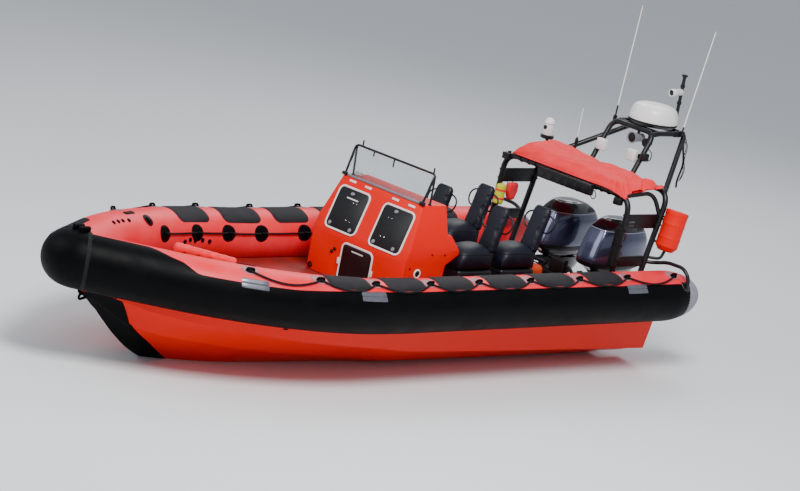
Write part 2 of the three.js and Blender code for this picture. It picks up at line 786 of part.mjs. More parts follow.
// Quarter rails, from the aft legs out over the tubes
function quarterRail(side) {
  const route = [
    [legX(aftHoop, 1046), 880, 1046],
    [-3290, 970, 1058],
    [-3312, 1100, 1098],
    [-3318, 1310, 1100],
    [-3324, 1395, 1020],
    [-3328, 1395, 870],
  ].map(([x, y, z]) => [x, side * y, z]);
  return cut(pipe(route, 20, 60, 8), [...grownHoops, ...grownTubes, bracket(seat)]);
}
add("quarter_rail_port", quarterRail(1), colour.tube);
add("quarter_rail_starboard", quarterRail(-1), colour.tube);

// Bow fairlead on the nose and the padded roll inside the port bow
const noseTop = axisZAt(3400) + collar.radius;
add(
  "bow_fairlead",
  cut(roundedBox(3340, 3470, -75, 75, noseTop - 40, noseTop + 55, 22), [noseBlank(0.5)]),
  colour.black,
);
add("bow_roll", cut(rod([2700, 444, 1174], [2140, 676, 1075], 45, 45, 16), grownTubes), colour.fabricRed);

// Engines: one set at the transom, copied to each side
function clampBracket() {
  const cheek = [
    [-seat, 380],
    [-seat, transom.top],
    [20, transom.top + 15],
    [20, 755],
    [-50, 755],
    [-85, 480],
    [-85, 380],
  ];
  const { inner, outer } = clampHalf;
  const cheeks = [sideProfile(cheek, inner, outer), sideProfile(cheek, -outer, -inner)];
  const bridge = box(-20, transom.thick + 15, -outer, outer, transom.top + seat, transom.top + 15);
  const [lipX, lipTop] = [transom.thick + seat, transom.top + 10];
  const lip = box(lipX, transom.thick + 15, 60, outer, 600, lipTop);
  const lips = [lip, mirrored(lip)];
  return joined([bridge, ...cheeks, ...lips]);
}

function swivelBracket() {
  const { tiltX, tiltZ, kingX } = engine;
  const hubHalf = clampHalf.inner - 0.5;
  const hub = rod([tiltX, -hubHalf, tiltZ], [tiltX, hubHalf, tiltZ], 28, 28, 16);
  const arm = box(kingX, tiltX, -45, 45, 692, 748);
  const web = sideProfile(
    [
      [kingX, 420],
      [kingX + 50, 440],
      [tiltX - 15, 700],
      [kingX, 730],
    ],
    -14,
    14,
  );
  return joined([hub, arm, web, rod([kingX, 0, 400], [kingX, 0, 800], 42, 42, 16)]);
}

// Leg sections: [z, front x, back x, half-width]
const legSections = [
  [-425, -265, -330, 5],
  [-250, -215, -420, 12],
  [-150, -190, -430, 22],
  [10, -185, -400, 34],
  [300, -185, -350, 55],
  [800.5, -185, -380, 85],
];
// Sections of the pan under the cover: [z, front x, back x, half-width, half-width of the front]
const panSections = [
  [765, -60, -470, 105, 70],
  [800, -25, -550, 160, 95],
  [849.7, 60, -595, 186, 106],
];
function engineLeg() {
  const rings = legSections.map(([z, front, back, half]) => {
    const nose = front - 0.35 * (front - back);
    const outline = [
      [front, 0],
      [nose, half],
      [back + 40, 0.9 * half],
      [back, 0.2 * half],
      [back, -0.2 * half],
      [back + 40, -0.9 * half],
      [nose, -half],
    ];
    return outline.map(([x, y]) => new THREE.Vector3(x, y, z));
  });
  const upright = rings.map((ring) => ring.map((p) => new THREE.Vector3(p.z, p.y, -p.x)));
  const blade = toSolid(toGeometry(loft(upright)).rotateY(-Math.PI / 2));
  const { kingX, shaftZ } = engine;
  const kingHole = rod([engine.kingX, 0, 700], [engine.kingX, 0, 800.5], 48, 48, 16);
  const pan = cut(planLoft(panSections), [kingHole]);
  const foot = box(-230, kingX + 35, -45, 45, 345, 399.5);
  const plate = planProfile([[-150, 0], [-240, 95], [-520, 105], [-520, -105], [-240, -95]], 12, 22);
  const gearcase = [
    rod([-130, 0, shaftZ], [-190, 0, shaftZ], 14, 46, 14),
    rod([-190, 0, shaftZ], [-470, 0, shaftZ], 46, 44, 14),
  ];
  return joined([blade, pan, foot, plate, ...gearcase]);
}

// Cowl sections: [z, front x, back x, half-width, half-width of the front]
const cowlSections = [
  [850.3, 95, -600, 190, 110],
  [900, 112, -700, 225, 135],
  [1130, 40, -715, 225, 135],
  [1230, -10, -655, 212, 120],
  [1310, -75, -560, 165, 90],
  [1365, -170, -400, 100, 55],
];
// A loft of plan outlines, one above the other
function planLoft(sections) {
  const rings = sections.map(([z, front, back, half, nose]) => {
    const outline = [
      [front, 0.6 * nose],
      [front - 40, nose],
      [front - 0.32 * (front - back), half],
      [front - 0.62 * (front - back), 0.97 * half],
      [back + 60, 0.72 * half],
      [back, 0.4 * half],
    ];
    const port = outline.map(([x, y]) => new THREE.Vector3(z, y, -x));
    const starboard = outline.map(([x, y]) => new THREE.Vector3(z, -y, -x)).reverse();
    return [...port, ...starboard];
  });
  return toSolid(toGeometry(loft(rings)).rotateY(-Math.PI / 2));
}

function propeller() {
  const { shaftZ } = engine;
  const hub = rod([-470.6, 0, 0], [-590, 0, 0], 42, 26, 14);
  const pitch = THREE.MathUtils.degToRad(engine.bladePitch);
  const blades = [0, 120, 240].flatMap((angle) => {
    const turn = THREE.MathUtils.degToRad(angle);
    const blade = new THREE.CylinderGeometry(1, 1, 1, 12).scale(70, 9, 64);
    const root = new THREE.BoxGeometry(56, 12, 70).translate(0, 0, -60);
    return [blade, root].map((shape) =>
      toSolid(shape.rotateZ(pitch).translate(-525, 0, 114).rotateX(turn)),
    );
  });
  return joined([hub, ...blades]).translate([0, 0, shaftZ]);
}

const engineCowl = () => planLoft(cowlSections);

for (const [side, y] of [["port", engine.spacing / 2], ["starboard", -engine.spacing / 2]]) {
  const place = new THREE.Group();
  place.position.set(transom.x, y, 0);
  group.add(place);
  add("clamp_bracket_" + side, clampBracket(), colour.cowl, place);
  add("swivel_bracket_" + side, swivelBracket(), colour.cowl, place);
  add("engine_leg_" + side, engineLeg(), colour.cowl, place);
  add("engine_cowl_" + side, engineCowl(), colour.cowl, place);
  add("propeller_" + side, propeller(), colour.metal, place);
}

export default group;
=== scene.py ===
import math

import bpy
from mathutils import Matrix, Vector
from mathutils.bvhtree import BVHTree


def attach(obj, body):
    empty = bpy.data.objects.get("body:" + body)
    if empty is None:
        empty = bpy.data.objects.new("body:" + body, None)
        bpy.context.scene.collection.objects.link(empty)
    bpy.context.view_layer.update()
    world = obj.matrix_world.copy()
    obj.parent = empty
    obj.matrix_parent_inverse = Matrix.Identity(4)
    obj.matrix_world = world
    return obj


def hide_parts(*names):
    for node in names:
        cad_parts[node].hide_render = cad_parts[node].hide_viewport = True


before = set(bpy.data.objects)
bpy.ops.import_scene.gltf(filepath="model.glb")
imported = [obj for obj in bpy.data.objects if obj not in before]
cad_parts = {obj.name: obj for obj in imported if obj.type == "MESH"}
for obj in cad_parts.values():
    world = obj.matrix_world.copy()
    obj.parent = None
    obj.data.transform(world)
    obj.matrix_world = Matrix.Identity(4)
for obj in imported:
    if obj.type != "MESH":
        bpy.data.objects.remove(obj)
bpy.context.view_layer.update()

# Measures that several pieces share, in metres, and the two sides: port is toward +Y
deckTop = 0.5903
roofTop = 1.559
transomX = -3.0
bothSides = ((1, "port"), (-1, "starboard"))

# Camera: the photograph's own, with the lean that the running boat has in it
cameraView = {
    "place": (20.192, 20.022, 7.208),
    "right": (-0.71013, 0.67830, 0.18877),
    "down": (0.01470, 0.28234, -0.95920),
    "ahead": (-0.70392, -0.67838, -0.21047),
    "focal": 3039.83,
    "frameWide": 800,  # the focal length's unit is a pixel of this frame
    "sensor": 36,
    "clip": 500,
}


def makeCamera():
    bpy.ops.object.camera_add()
    camera = bpy.context.object
    columns = Matrix(
        (
            Vector(cameraView["right"]),
            -Vector(cameraView["down"]),
            -Vector(cameraView["ahead"]),
        )
    ).transposed()
    camera.matrix_world = Matrix.Translation(cameraView["place"]) @ columns.to_4x4()
    camera.data.sensor_width = cameraView["sensor"]
    camera.data.lens = cameraView["focal"] / cameraView["frameWide"] * cameraView["sensor"]
    camera.data.clip_end = cameraView["clip"]
    bpy.context.scene.camera = camera


makeCamera()
print("camera placed")


# Small tools
def only(piece):
    bpy.ops.object.select_all(action="DESELECT")
    piece.select_set(True)
    bpy.context.view_layer.objects.active = piece


def edit(piece, select="SELECT"):
    only(piece)
    bpy.ops.object.mode_set(mode="EDIT")
    bpy.ops.mesh.select_all(action=select)


def leave():
    bpy.ops.object.mode_set(mode="OBJECT")


def cleanUp(piece, distance=0.0002):
    edit(piece)
    bpy.ops.mesh.remove_doubles(threshold=distance)
    bpy.ops.mesh.dissolve_degenerate(threshold=distance / 2)
    bpy.ops.mesh.normals_make_consistent(inside=False)
    leave()


def applyPlace(piece):
    only(piece)
    bpy.ops.object.transform_apply(location=True, rotation=True, scale=True)


def joinPieces(name, pieces):
    bpy.ops.object.select_all(action="DESELECT")
    for piece in pieces:
        piece.select_set(True)
    bpy.context.view_layer.objects.active = pieces[0]
    if len(pieces) > 1:
        bpy.ops.object.join()
    pieces[0].name = name
    return pieces[0]


def copyPiece(piece, name, matrix):
    twin = piece.copy()
    twin.data = piece.data.copy()
    twin.name = name
    bpy.context.scene.collection.objects.link(twin)
    twin.data.transform(matrix)
    if matrix.determinant() < 0:
        twin.data.flip_normals()
    return twin


# The turn that points what was upright along an axis
def aimed(axis):
    return Vector((0, 0, 1)).rotation_difference(Vector(axis)).to_matrix().to_4x4()


def applied(piece, kind, **settings):
    only(piece)
    modifier = piece.modifiers.new(kind.lower(), kind)
    for name, value in settings.items():
        setattr(modifier, name, value)
    bpy.ops.object.modifier_apply(modifier=modifier.name)
    return piece


def finishPiece(piece, material, body="boat", slot=None, replaces=(), angle=35):
    applyPlace(piece)
    piece.data.materials.clear()
    piece.data.materials.append(finish[material])
    only(piece)
    bpy.ops.object.shade_smooth_by_angle(angle=math.radians(angle))
    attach(piece, body)
    if replaces:
        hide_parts(*replaces)
    return piece


def finishJoined(name, pieces, *rest, **more):
    return finishPiece(joinPieces(name, pieces), *rest, **more)


def shapedGrid(name, columns, rows, place, merge=0.0002):
    bpy.ops.mesh.primitive_grid_add(x_subdivisions=columns, y_subdivisions=rows, size=2)
    piece = bpy.context.object
    piece.name = name
    for vertex in piece.data.vertices:
        vertex.co = place((vertex.co.x + 1) / 2, (vertex.co.y + 1) / 2)
    cleanUp(piece, merge)
    return piece


def closeHoles(piece):
    edit(piece, "DESELECT")
    bpy.ops.mesh.select_mode(type="EDGE")
    bpy.ops.mesh.select_non_manifold()
    bpy.ops.mesh.edge_face_add()
    bpy.ops.mesh.select_all(action="SELECT")
    bpy.ops.mesh.normals_make_consistent(inside=False)
    bpy.ops.mesh.select_mode(type="VERT")
    leave()


def roundedRoute(corners, radius, steps=6):
    points = [Vector(c) for c in corners]
    route = [points[0]]
    for before, corner, after in zip(points, points[1:], points[2:]):
        back, ahead = before - corner, after - corner
        reach = min(radius, back.length / 2.1, ahead.length / 2.1)
        start = corner + back.normalized() * reach
        end = corner + ahead.normalized() * reach
        for i in range(steps + 1):
            t = i / steps
            route.append(start * (1 - t) ** 2 + corner * 2 * t * (1 - t) + end * t**2)
    return route + [points[-1]]


def pipeAlong(name, points, radius, ring=4, cyclic=False):
    curve = bpy.data.curves.new(name, "CURVE")
    curve.dimensions = "3D"
    curve.bevel_depth = radius
    curve.bevel_resolution = ring
    curve.use_fill_caps = not cyclic
    spline = curve.splines.new("POLY")
    spline.points.add(len(points) - 1)
    for point, place in zip(spline.points, points):
        point.co = (*place, 1)
    spline.use_cyclic_u = cyclic
    piece = bpy.data.objects.new(name, curve)
    bpy.context.scene.collection.objects.link(piece)
    only(piece)
    bpy.ops.object.convert(target="MESH")
    cleanUp(piece, 0.00005)
    return piece


def bentPipe(name, corners, radius, bend=0.15, ring=4, steps=6):
    return pipeAlong(name, roundedRoute(corners, bend, steps), radius, ring)


def lathePiece(name, profile, foot, axis=(0, 0, 1), steps=32):
    mesh = bpy.data.meshes.new(name)
    points = [(radius, 0, height) for radius, height in profile]
    mesh.from_pydata(points, [(i, i + 1) for i in range(len(points) - 1)], [])
    piece = bpy.data.objects.new(name, mesh)
    bpy.context.scene.collection.objects.link(piece)
    edit(piece)
    bpy.ops.mesh.spin(steps=steps, angle=2 * math.pi, center=(0, 0, 0), axis=(0, 0, 1))
    leave()
    cleanUp(piece, 0.00005)
    piece.data.transform(Matrix.Translation(foot) @ aimed(axis))
    return piece


def bevelled(piece, width, segments=2, angle=30):
    limit = {"limit_method": "ANGLE", "angle_limit": math.radians(angle), "harden_normals": False}
    return applied(piece, "BEVEL", width=width, segments=segments, **limit)


def blockPiece(name, low, high, edge=0.004, segments=2):
    low, high = Vector(low), Vector(high)
    bpy.ops.mesh.primitive_cube_add(size=1, location=(low + high) / 2)
    piece = bpy.context.object
    piece.name = name
    piece.scale = high - low
    applyPlace(piece)
    return bevelled(piece, edge, segments) if edge else piece


# An outline [(a, b), ...] in the plane across one axis, pushed along that axis from low to high
def outlinePiece(name, outline, across, low, high, edge=0.004, segments=2):
    order = {"x": (2, 0, 1), "y": (0, 2, 1), "z": (0, 1, 2)}[across]
    points = []
    for a, b in outline:
        triple = (a, b, low)
        points.append(tuple(triple[i] for i in order))
    mesh = bpy.data.meshes.new(name)
    mesh.from_pydata(points, [], [tuple(range(len(points)))])
    piece = bpy.data.objects.new(name, mesh)
    bpy.context.scene.collection.objects.link(piece)
    push = [high - low if order[i] == 2 else 0 for i in range(3)]
    edit(piece)
    bpy.ops.mesh.extrude_region_move(TRANSFORM_OT_translate={"value": push})
    leave()
    cleanUp(piece, 0.00002)
    return bevelled(piece, edge, segments) if edge else piece


def subdivided(piece):
    return applied(piece, "SUBSURF", levels=1, render_levels=1)


# Turned parts: steps round, then [(radius, height), ...] from the foot up
turnedParts = {
    "weld": (32, [(0, 0), (0.038, 0), (0.03, 0.012), (0, 0.013)]),
    "footBolt": (6, [(0, 0), (0.009, 0), (0.009, 0.005), (0.006, 0.008), (0, 0.008)]),
    "portRing": (
        40, [(0.03, 0), (0.044, 0), (0.046, 0.003), (0.044, 0.007), (0.032, 0.009), (0.03, 0.006)],
    ),
    "portLid": (32, [(0, 0), (0.03, 0), (0.03, 0.004), (0.026, 0.006), (0, 0.006)]),
    "satDome": (28, [(0, 0), (0.04, 0), (0.044, 0.008), (0.04, 0.028), (0.024, 0.042), (0, 0.047)]),
    "sideBolt": (16, [(0, 0), (0.009, 0), (0.008, 0.005), (0, 0.006)]),
    "socket": (20, [(0, 0), (0.018, 0), (0.018, 0.006), (0.012, 0.011), (0, 0.011)]),
    "gland": (28, [(0.012, 0), (0.03, 0), (0.03, 0.008), (0.022, 0.012), (0.012, 0.01)]),
    "strutFoot": (20, [(0, 0), (0.02, 0), (0.02, 0.005), (0.011, 0.011), (0, 0.011)]),
    "screwHead": (12, [(0, 0), (0.006, 0), (0.005, 0.003), (0, 0.0035)]),
    "helmHub": (32, [(0, -0.04), (0.033, -0.04), (0.03, 0.004), (0.022, 0.011), (0, 0.012)]),
    "helmColumn": (32, [
        (0, 0.042), (0.024, 0.042), (0.03, 0.055), (0.03, 0.09), (0.026, 0.095), (0.03, 0.1),
        (0.026, 0.105),
        (0.03, 0.11), (0.03, 0.178), (0, 0.178),
    ]),
    "dial": (
        32, [(0, 0), (0.04, 0), (0.042, 0.004), (0.04, 0.009), (0.034, 0.01), (0.033, 0.006), (0, 0.006)],
    ),
    "leverGrip": (20, [(0, 0), (0.013, 0.004), (0.017, 0.02), (0.015, 0.035), (0, 0.042)]),
    "radarFoot": (24, [(0, 0), (0.045, 0), (0.045, 0.01), (0.03, 0.02), (0, 0.02)]),
    "radarBase": (64, [(0, 0), (0.224, 0), (0.244, 0.018), (0.2605, 0.03), (0.2605, 0.046), (0, 0.046)]),
    "radarDome": (72, [
        (0, 0.046), (0.257, 0.046), (0.2605, 0.05), (0.2605, 0.068), (0.2565, 0.09), (0.247, 0.127),
        (0.237, 0.158),
        (0.227, 0.181), (0.213, 0.195), (0.194, 0.206), (0.163, 0.2165), (0.11, 0.221), (0.05, 0.2235),
        (0, 0.2245),
    ]),
    "mastPost": (32, [
        (0, 0), (0.018, 0), (0.018, 0.53), (0.022, 0.545), (0.033, 0.55), (0.0335, 0.562), (0.026, 0.569),
        (0, 0.57),
    ]),
    "mastClamp": (24, [(0.018, 0), (0.0245, 0), (0.0245, 0.03), (0.018, 0.03)]),
    "mastCamera": (32, [
        (0, 0), (0.03, 0), (0.0355, 0.008), (0.0355, 0.1), (0.039, 0.106), (0.0395, 0.16), (0.034, 0.162),
        (0.03, 0.15),
    ]),
    "cameraLens": (32, [(0, 0.146), (0.0298, 0.146), (0.0298, 0.153), (0.02, 0.157), (0, 0.158)]),
    "thermalCamera": (48, [
        (0, 0.001), (0.057, 0.001), (0.057, 0.033), (0.0575, 0.034), (0.0575, 0.15), (0.055, 0.166),
        (0.0475, 0.189),
        (0.0375, 0.203), (0.0255, 0.2115), (0, 0.216),
    ]),
    "thermalWindow": (28, [(0, 0), (0.024, 0), (0.024, 0.004), (0.018, 0.008), (0, 0.009)]),
    "thermalFlange": (48, [(0.0575, 0.034), (0.0575, 0.03), (0.0716, 0.0275), (0.0718, 0), (0, -0.0005)]),
    "thermalPlate": (32, [(0, 0), (0.055, 0), (0.055, 0.008), (0, 0.008)]),
    "hailerHorn": (36, [
        (0, 0.02), (0.03, 0.02), (0.036, 0.016), (0.058, 0.001), (0.0615, 0.001), (0.0615, 0.012),
        (0.05, 0.05),
        (0.044, 0.1), (0.044, 0.165), (0.036, 0.179), (0, 0.179),
    ]),
    "hailerFace": (28, [(0, 0), (0.05, 0), (0.05, 0.008), (0.03, 0.013), (0, 0.013)]),
    "lampFace": (24, [(0, 0), (0.03, 0), (0.03, 0.006), (0, 0.006)]),
    "sideLamp": (28, [(0, 0), (0.044, 0.004), (0.047, 0.03), (0.04, 0.075), (0.025, 0.095), (0, 0.098)]),
    "shortWhip": (12, [(0, 0.06), (0.006, 0.06), (0.004, 0.36), (0, 0.375)]),
    "whipBase": (20, [
        (0, -0.135), (0.012, -0.135), (0.012, -0.02), (0.018, -0.015), (0.018, 0.03), (0.008, 0.06),
        (0, 0.062),
    ]),
    "lens": (28, [(0, 0), (0.04, 0), (0.042, 0.002), (0.036, 0.0035), (0, 0.004)]),
    "gearcase": (40, [
        (0, 0), (0.014, 0.004), (0.028, 0.018), (0.039, 0.04), (0.045, 0.07), (0.0455, 0.11), (0.0455, 0.3),
        (0.043, 0.338), (0.036, 0.339), (0, 0.339),
    ]),
    "propellerHub": (36, [
        (0, 0), (0.0415, 0), (0.0405, 0.03), (0.034, 0.09), (0.026, 0.112), (0.0255, 0.12), (0.015, 0.1195),
        (0, 0.11),
    ]),
    "mountBolt": (6, [(0, 0), (0.013, 0), (0.013, 0.006), (0.01, 0.009), (0, 0.009)]),
    "valve": (32, [
        (0, 0.004), (0.062, 0.004), (0.062, 0.009), (0.05, 0.011), (0.032, 0.011), (0.03, 0.02),
        (0.012, 0.024),
        (0, 0.024),
    ]),
    "stud": (20, [(0, 0.001), (0.022, 0.001), (0.02, 0.009), (0.01, 0.014), (0, 0.014)]),
    "drain": (20, [(0, 0.006), (0.024, 0.006), (0.02, 0.016), (0, 0.018)]),
}


def turnedPart(name, foot, axis=(0, 0, 1)):
    steps, profile = turnedParts[name]
    return lathePiece(name, profile, foot, axis, steps)


# A band round a pipe, from its inner radius to its outer one
def bandPiece(name, inner, outer, wide, foot, axis=(0, 0, 1), steps=28):
    profile = [(inner, 0), (outer, 0.001), (outer, wide - 0.001), (inner, wide)]
    return lathePiece(name, profile, foot, axis, steps)


# Materials
def linear(code):
    channels = [int(code[i : i + 2], 16) / 255 for i in (0, 2, 4)]
    return [c / 12.92 if c <= 0.04045 else ((c + 0.055) / 1.055) ** 2.4 for c in channels] + [1]


def addNode(tree, kind, settings=None, links=None):
    node = tree.nodes.new(kind)
    for name, value in (settings or {}).items():
        if isinstance(name, int) or name in node.inputs:
            node.inputs[name].default_value = value
        else:
            setattr(node, name, value)
    for name, source in (links or {}).items():
        tree.links.new(source, node.inputs[name])
    return node


# Two colours in soft patches, a fine grain in the normal, and a roughness that wanders with the patches.
# A range of roughness stays on one side of 0.274, where the denoiser draws a contour.
# Sizes are in millimetres on the object.
def madeMaterial(name, look):
    material = bpy.data.materials.new(name)
    material.use_nodes = True
    tree = material.node_tree
    shader = tree.nodes["Principled BSDF"]
    place = addNode(tree, "ShaderNodeTexCoord").outputs["Object"]

    def texture(kind, settings, output="Fac", vector=place):
        return addNode(tree, "ShaderNodeTex" + kind, settings, {"Vector": vector}).outputs[output]

    def ranged(value, low, high, toLow, toHigh):
        settings = {"From Min": low, "From Max": high, "To Min": toLow, "To Max": toHigh}
        return addNode(tree, "ShaderNodeMapRange", settings, {"Value": value}).outputs["Result"]

    def bumped(height, strength, millimetres, links=None):
        settings = {"Strength": strength, "Distance": millimetres / 1000}
        return addNode(
            tree, "ShaderNodeBump", settings, {"Height": height, **(links or {})},
        ).outputs["Normal"]

    patches = texture("Noise", {"Scale": 1000 / look["patch"], "Detail": 6, "Roughness": 0.6})
    share = ranged(patches, 0.42, 0.68, 0, look["wear"])
    colours = {"data_type": "RGBA", 6: linear(look["colour"]), 7: linear(look["worn"])}
    mixed = addNode(tree, "ShaderNodeMix", colours, {0: share}).outputs[2]
    tree.links.new(mixed, shader.inputs["Base Color"])
    tree.links.new(ranged(patches, 0.3, 0.7, *look["roughness"]), shader.inputs["Roughness"])
    pattern = look.get("pattern")
    scale = 1000 / look["grain"]
    if pattern == "weave":
        warp, weft = [
            texture(
                "Wave", {"Scale": scale / 2, "Distortion": 0.4, "bands_direction": axis},
            ) for axis in "XZ"
        ]
        grain = addNode(tree, "ShaderNodeMath", {"operation": "MAXIMUM"}, {0: warp, 1: weft}).outputs[0]
    elif pattern == "studs":
        grain = texture("Voronoi", {"Scale": scale, "Randomness": look.get("scatter", 0.15)}, "Distance")
    elif pattern == "brushed":
        drawn = addNode(tree, "ShaderNodeMapping", {"Scale": (1, 1, 14)}, {"Vector": place}).outputs[0]
        grain = texture("Noise", {"Scale": scale}, vector=drawn)
    else:
        grain = texture("Noise", {"Scale": scale, "Detail": 3})
    bump = bumped(grain, 0.5, look["depth"])
    if "dents" in look:
        wide, deep = look["dents"]
        waves = texture("Noise", {"Scale": 1000 / wide, "Detail": 2})
        bump = bumped(waves, 0.6, deep, {"Normal": bump})
    tree.links.new(bump, shader.inputs["Normal"])
    if "specular" in look:
        shader.inputs["Specular IOR Level"].default_value = look["specular"]
    for socket, value in look.get("shader", {}).items():
        shader.inputs[socket].default_value = value
    return material


looks = {
    # coated fabric of the collar: satin, sun-bleached in soft patches
    "hypalonRed": {"colour": "ee1226", "worn": "f34a58", "patch": 420, "wear": 0.5, "grain": 3,
        "depth": 0.15, "roughness": (0.36, 0.5), "specular": 0.3},
    # the same fabric in small glued patches, bleached to a greyish rose
    "hypalonFaded": {"colour": "9a5a60", "worn": "a8888c", "patch": 60, "wear": 0.8, "grain": 3,
        "depth": 0.15, "roughness": (0.45, 0.6)},
    # moulded neoprene of the wear strips: nearly black, chalky where it has rubbed
    "neopreneBlack": {"colour": "030304", "worn": "09090b", "patch": 260, "wear": 0.5, "grain": 4,
        "depth": 0.25, "roughness": (0.42, 0.58), "specular": 0.07},
    # gelcoat over laid glass fibre: deep gloss with a faint ripple
    "gelcoatOrange": {"colour": "e61400", "worn": "ea2604", "patch": 700, "wear": 0.45, "grain": 8,
        "depth": 0.03, "roughness": (0.29, 0.4), "dents": (380, 1.2), "specular": 0.16},
    "gelcoatRed": {"colour": "e60c00", "worn": "e21f10", "patch": 500, "wear": 0.35, "grain": 8,
        "depth": 0.03, "roughness": (0.3, 0.42), "dents": (300, 0.8), "specular": 0.14},
    # deck with moulded non-slip: a field of small studs, dulled by boots
    "deckNonSlip": {"colour": "8f140b", "worn": "5a1710", "patch": 380, "wear": 0.7, "grain": 22,
        "pattern": "studs", "depth": 1.2, "roughness": (0.5, 0.75)},
    # ribbed rubber mat glued on the collar: dull grey-black with fine studs
    "matRubber": {"colour": "131215", "worn": "2f2c32", "patch": 180, "wear": 0.6, "grain": 14,
        "pattern": "studs", "depth": 1.0, "roughness": (0.6, 0.8), "specular": 0.25},
    # powder-coated aluminium tube: black, slight orange peel
    "powderCoat": {"colour": "0b0b0d", "worn": "1b1b1f", "patch": 150, "wear": 0.35, "grain": 5,
        "depth": 0.15, "roughness": (0.3, 0.44), "specular": 0.4},
    # moulded ABS: white, faintly yellowed
    "absWhite": {"colour": "eeedeb", "worn": "dad6cf", "patch": 160, "wear": 0.5, "grain": 3,
        "depth": 0.06, "roughness": (0.28, 0.4)},
    "absGrey": {"colour": "83828a", "worn": "6b6b73", "patch": 160, "wear": 0.5, "grain": 3,
        "depth": 0.1, "roughness": (0.4, 0.55)},
    "podBlack": {"colour": "101116", "worn": "1f2129", "patch": 140, "wear": 0.4, "grain": 4,
        "depth": 0.1, "roughness": (0.36, 0.5)},
    "absBlack": {"colour": "070708", "worn": "121214", "patch": 120, "wear": 0.4, "grain": 2.5,
        "depth": 0.15, "roughness": (0.4, 0.56), "specular": 0.4},
    # tinted acrylic: dull from salt, so that only soft light shows in it
    "acrylicDark": {"colour": "0b0b0e", "worn": "131418", "patch": 300, "wear": 0.3, "grain": 6,
        "depth": 0.02, "roughness": (0.3, 0.42), "specular": 0.4},
    # clear polycarbonate, a little hazed by salt
    "polycarbonate": {"colour": "eef2f3", "worn": "dfe5e6", "patch": 200, "wear": 0.5, "grain": 12,
        "depth": 0.01, "roughness": (0.0, 0.02), "shader": {"Transmission Weight": 1.0, "IOR": 1.585}},
    # upholstery vinyl: navy with leather grain and a soft sheen
    "vinylNavy": {"colour": "080b18", "worn": "12172b", "patch": 130, "wear": 0.5, "grain": 4,
        "pattern": "studs", "scatter": 1.0, "depth": 0.4, "roughness": (0.42, 0.56), "specular": 0.35},
    # coarse woven canvas: weave drawn at 5 mm so that it shows
    "canvasRed": {"colour": "ee222b", "worn": "f4505a", "patch": 160, "wear": 0.4, "grain": 5,
        "pattern": "weave", "depth": 0.5, "roughness": (0.62, 0.8), "specular": 0.3},
    "canvasOrange": {"colour": "d8420c", "worn": "c05a30", "patch": 90, "wear": 0.5, "grain": 5,
        "pattern": "weave", "depth": 0.5, "roughness": (0.6, 0.8)},
    "nylonBlack": {"colour": "060607", "worn": "141416", "patch": 70, "wear": 0.5, "grain": 4,
        "pattern": "weave", "depth": 0.5, "roughness": (0.6, 0.8), "specular": 0.25},
    "nylonYellow": {"colour": "cfd016", "worn": "aaa824", "patch": 90, "wear": 0.5, "grain": 4,
        "pattern": "weave", "depth": 0.5, "roughness": (0.55, 0.75)},
    # metallic lacquer of the engine covers: blue-grey flake under clear coat
    "lacquerBlue": {"colour": "4a4c66", "worn": "585b78", "patch": 500, "wear": 0.5, "grain": 1.5,
        "depth": 0.03, "roughness": (0.2, 0.265), "shader": {
            "Metallic": 0.75, "Coat Weight": 0.9, "Coat Roughness": 0.05,
        }},
    "lacquerDark": {"colour": "15161f", "worn": "212330", "patch": 300, "wear": 0.4, "grain": 1.5,
        "depth": 0.03, "roughness": (0.2, 0.265), "shader": {
            "Metallic": 0.3, "Coat Weight": 0.8, "Coat Roughness": 0.06,
        }},
    "lacquerRim": {"colour": "a9abbc", "worn": "8b8d9f", "patch": 200, "wear": 0.4, "grain": 1.5,
        "depth": 0.02, "roughness": (0.2, 0.265), "shader": {"Metallic": 0.6, "Coat Weight": 0.6}},
    # cast aluminium brackets under dark engine paint
    "castGrey": {"colour": "15161b", "worn": "2a2b33", "patch": 200, "wear": 0.5, "grain": 5,
        "depth": 0.3, "roughness": (0.35, 0.55), "shader": {"Metallic": 0.3}},
    # polished stainless steel: bright, with fine drawn lines
    "stainless": {"colour": "b8babd", "worn": "9fa1a5", "patch": 60, "wear": 0.4, "grain": 3,
        "pattern": "brushed", "depth": 0.05, "roughness": (0.18, 0.265), "shader": {"Metallic": 1.0}},
    # retro-reflective tape: cool silver, fine cells
    "tapeSilver": {"colour": "6a6c76", "worn": "585a63", "patch": 60, "wear": 0.5, "grain": 6,
        "pattern": "studs", "depth": 0.2, "roughness": (0.29, 0.4), "shader": {"Metallic": 0.5}},
    "patchGrey": {"colour": "8b8992", "worn": "9c9aa3", "patch": 120, "wear": 0.5, "grain": 3,
        "depth": 0.15, "roughness": (0.5, 0.65)},
}
finish = {name: madeMaterial(name, look) for name, look in looks.items()}
print("materials made:", len(finish))

# Stage: a pale floor at the waterline, a pale world and soft lamps
stageLook = {
    "floor": "e4e6e7",
    "floorSize": 400,
    "floorRoughness": 0.7,
    "world": "e0e7f1",
    "worldPower": 0.6,
    # place, size and power of each lamp; all of them are aimed at one point
    "lamps": [((4, 7, 12), 5, 2300), ((9, -5, 8), 6, 420), ((-10, -6, 10), 7, 600)],
    "aim": (0, 0, 0.8),
}


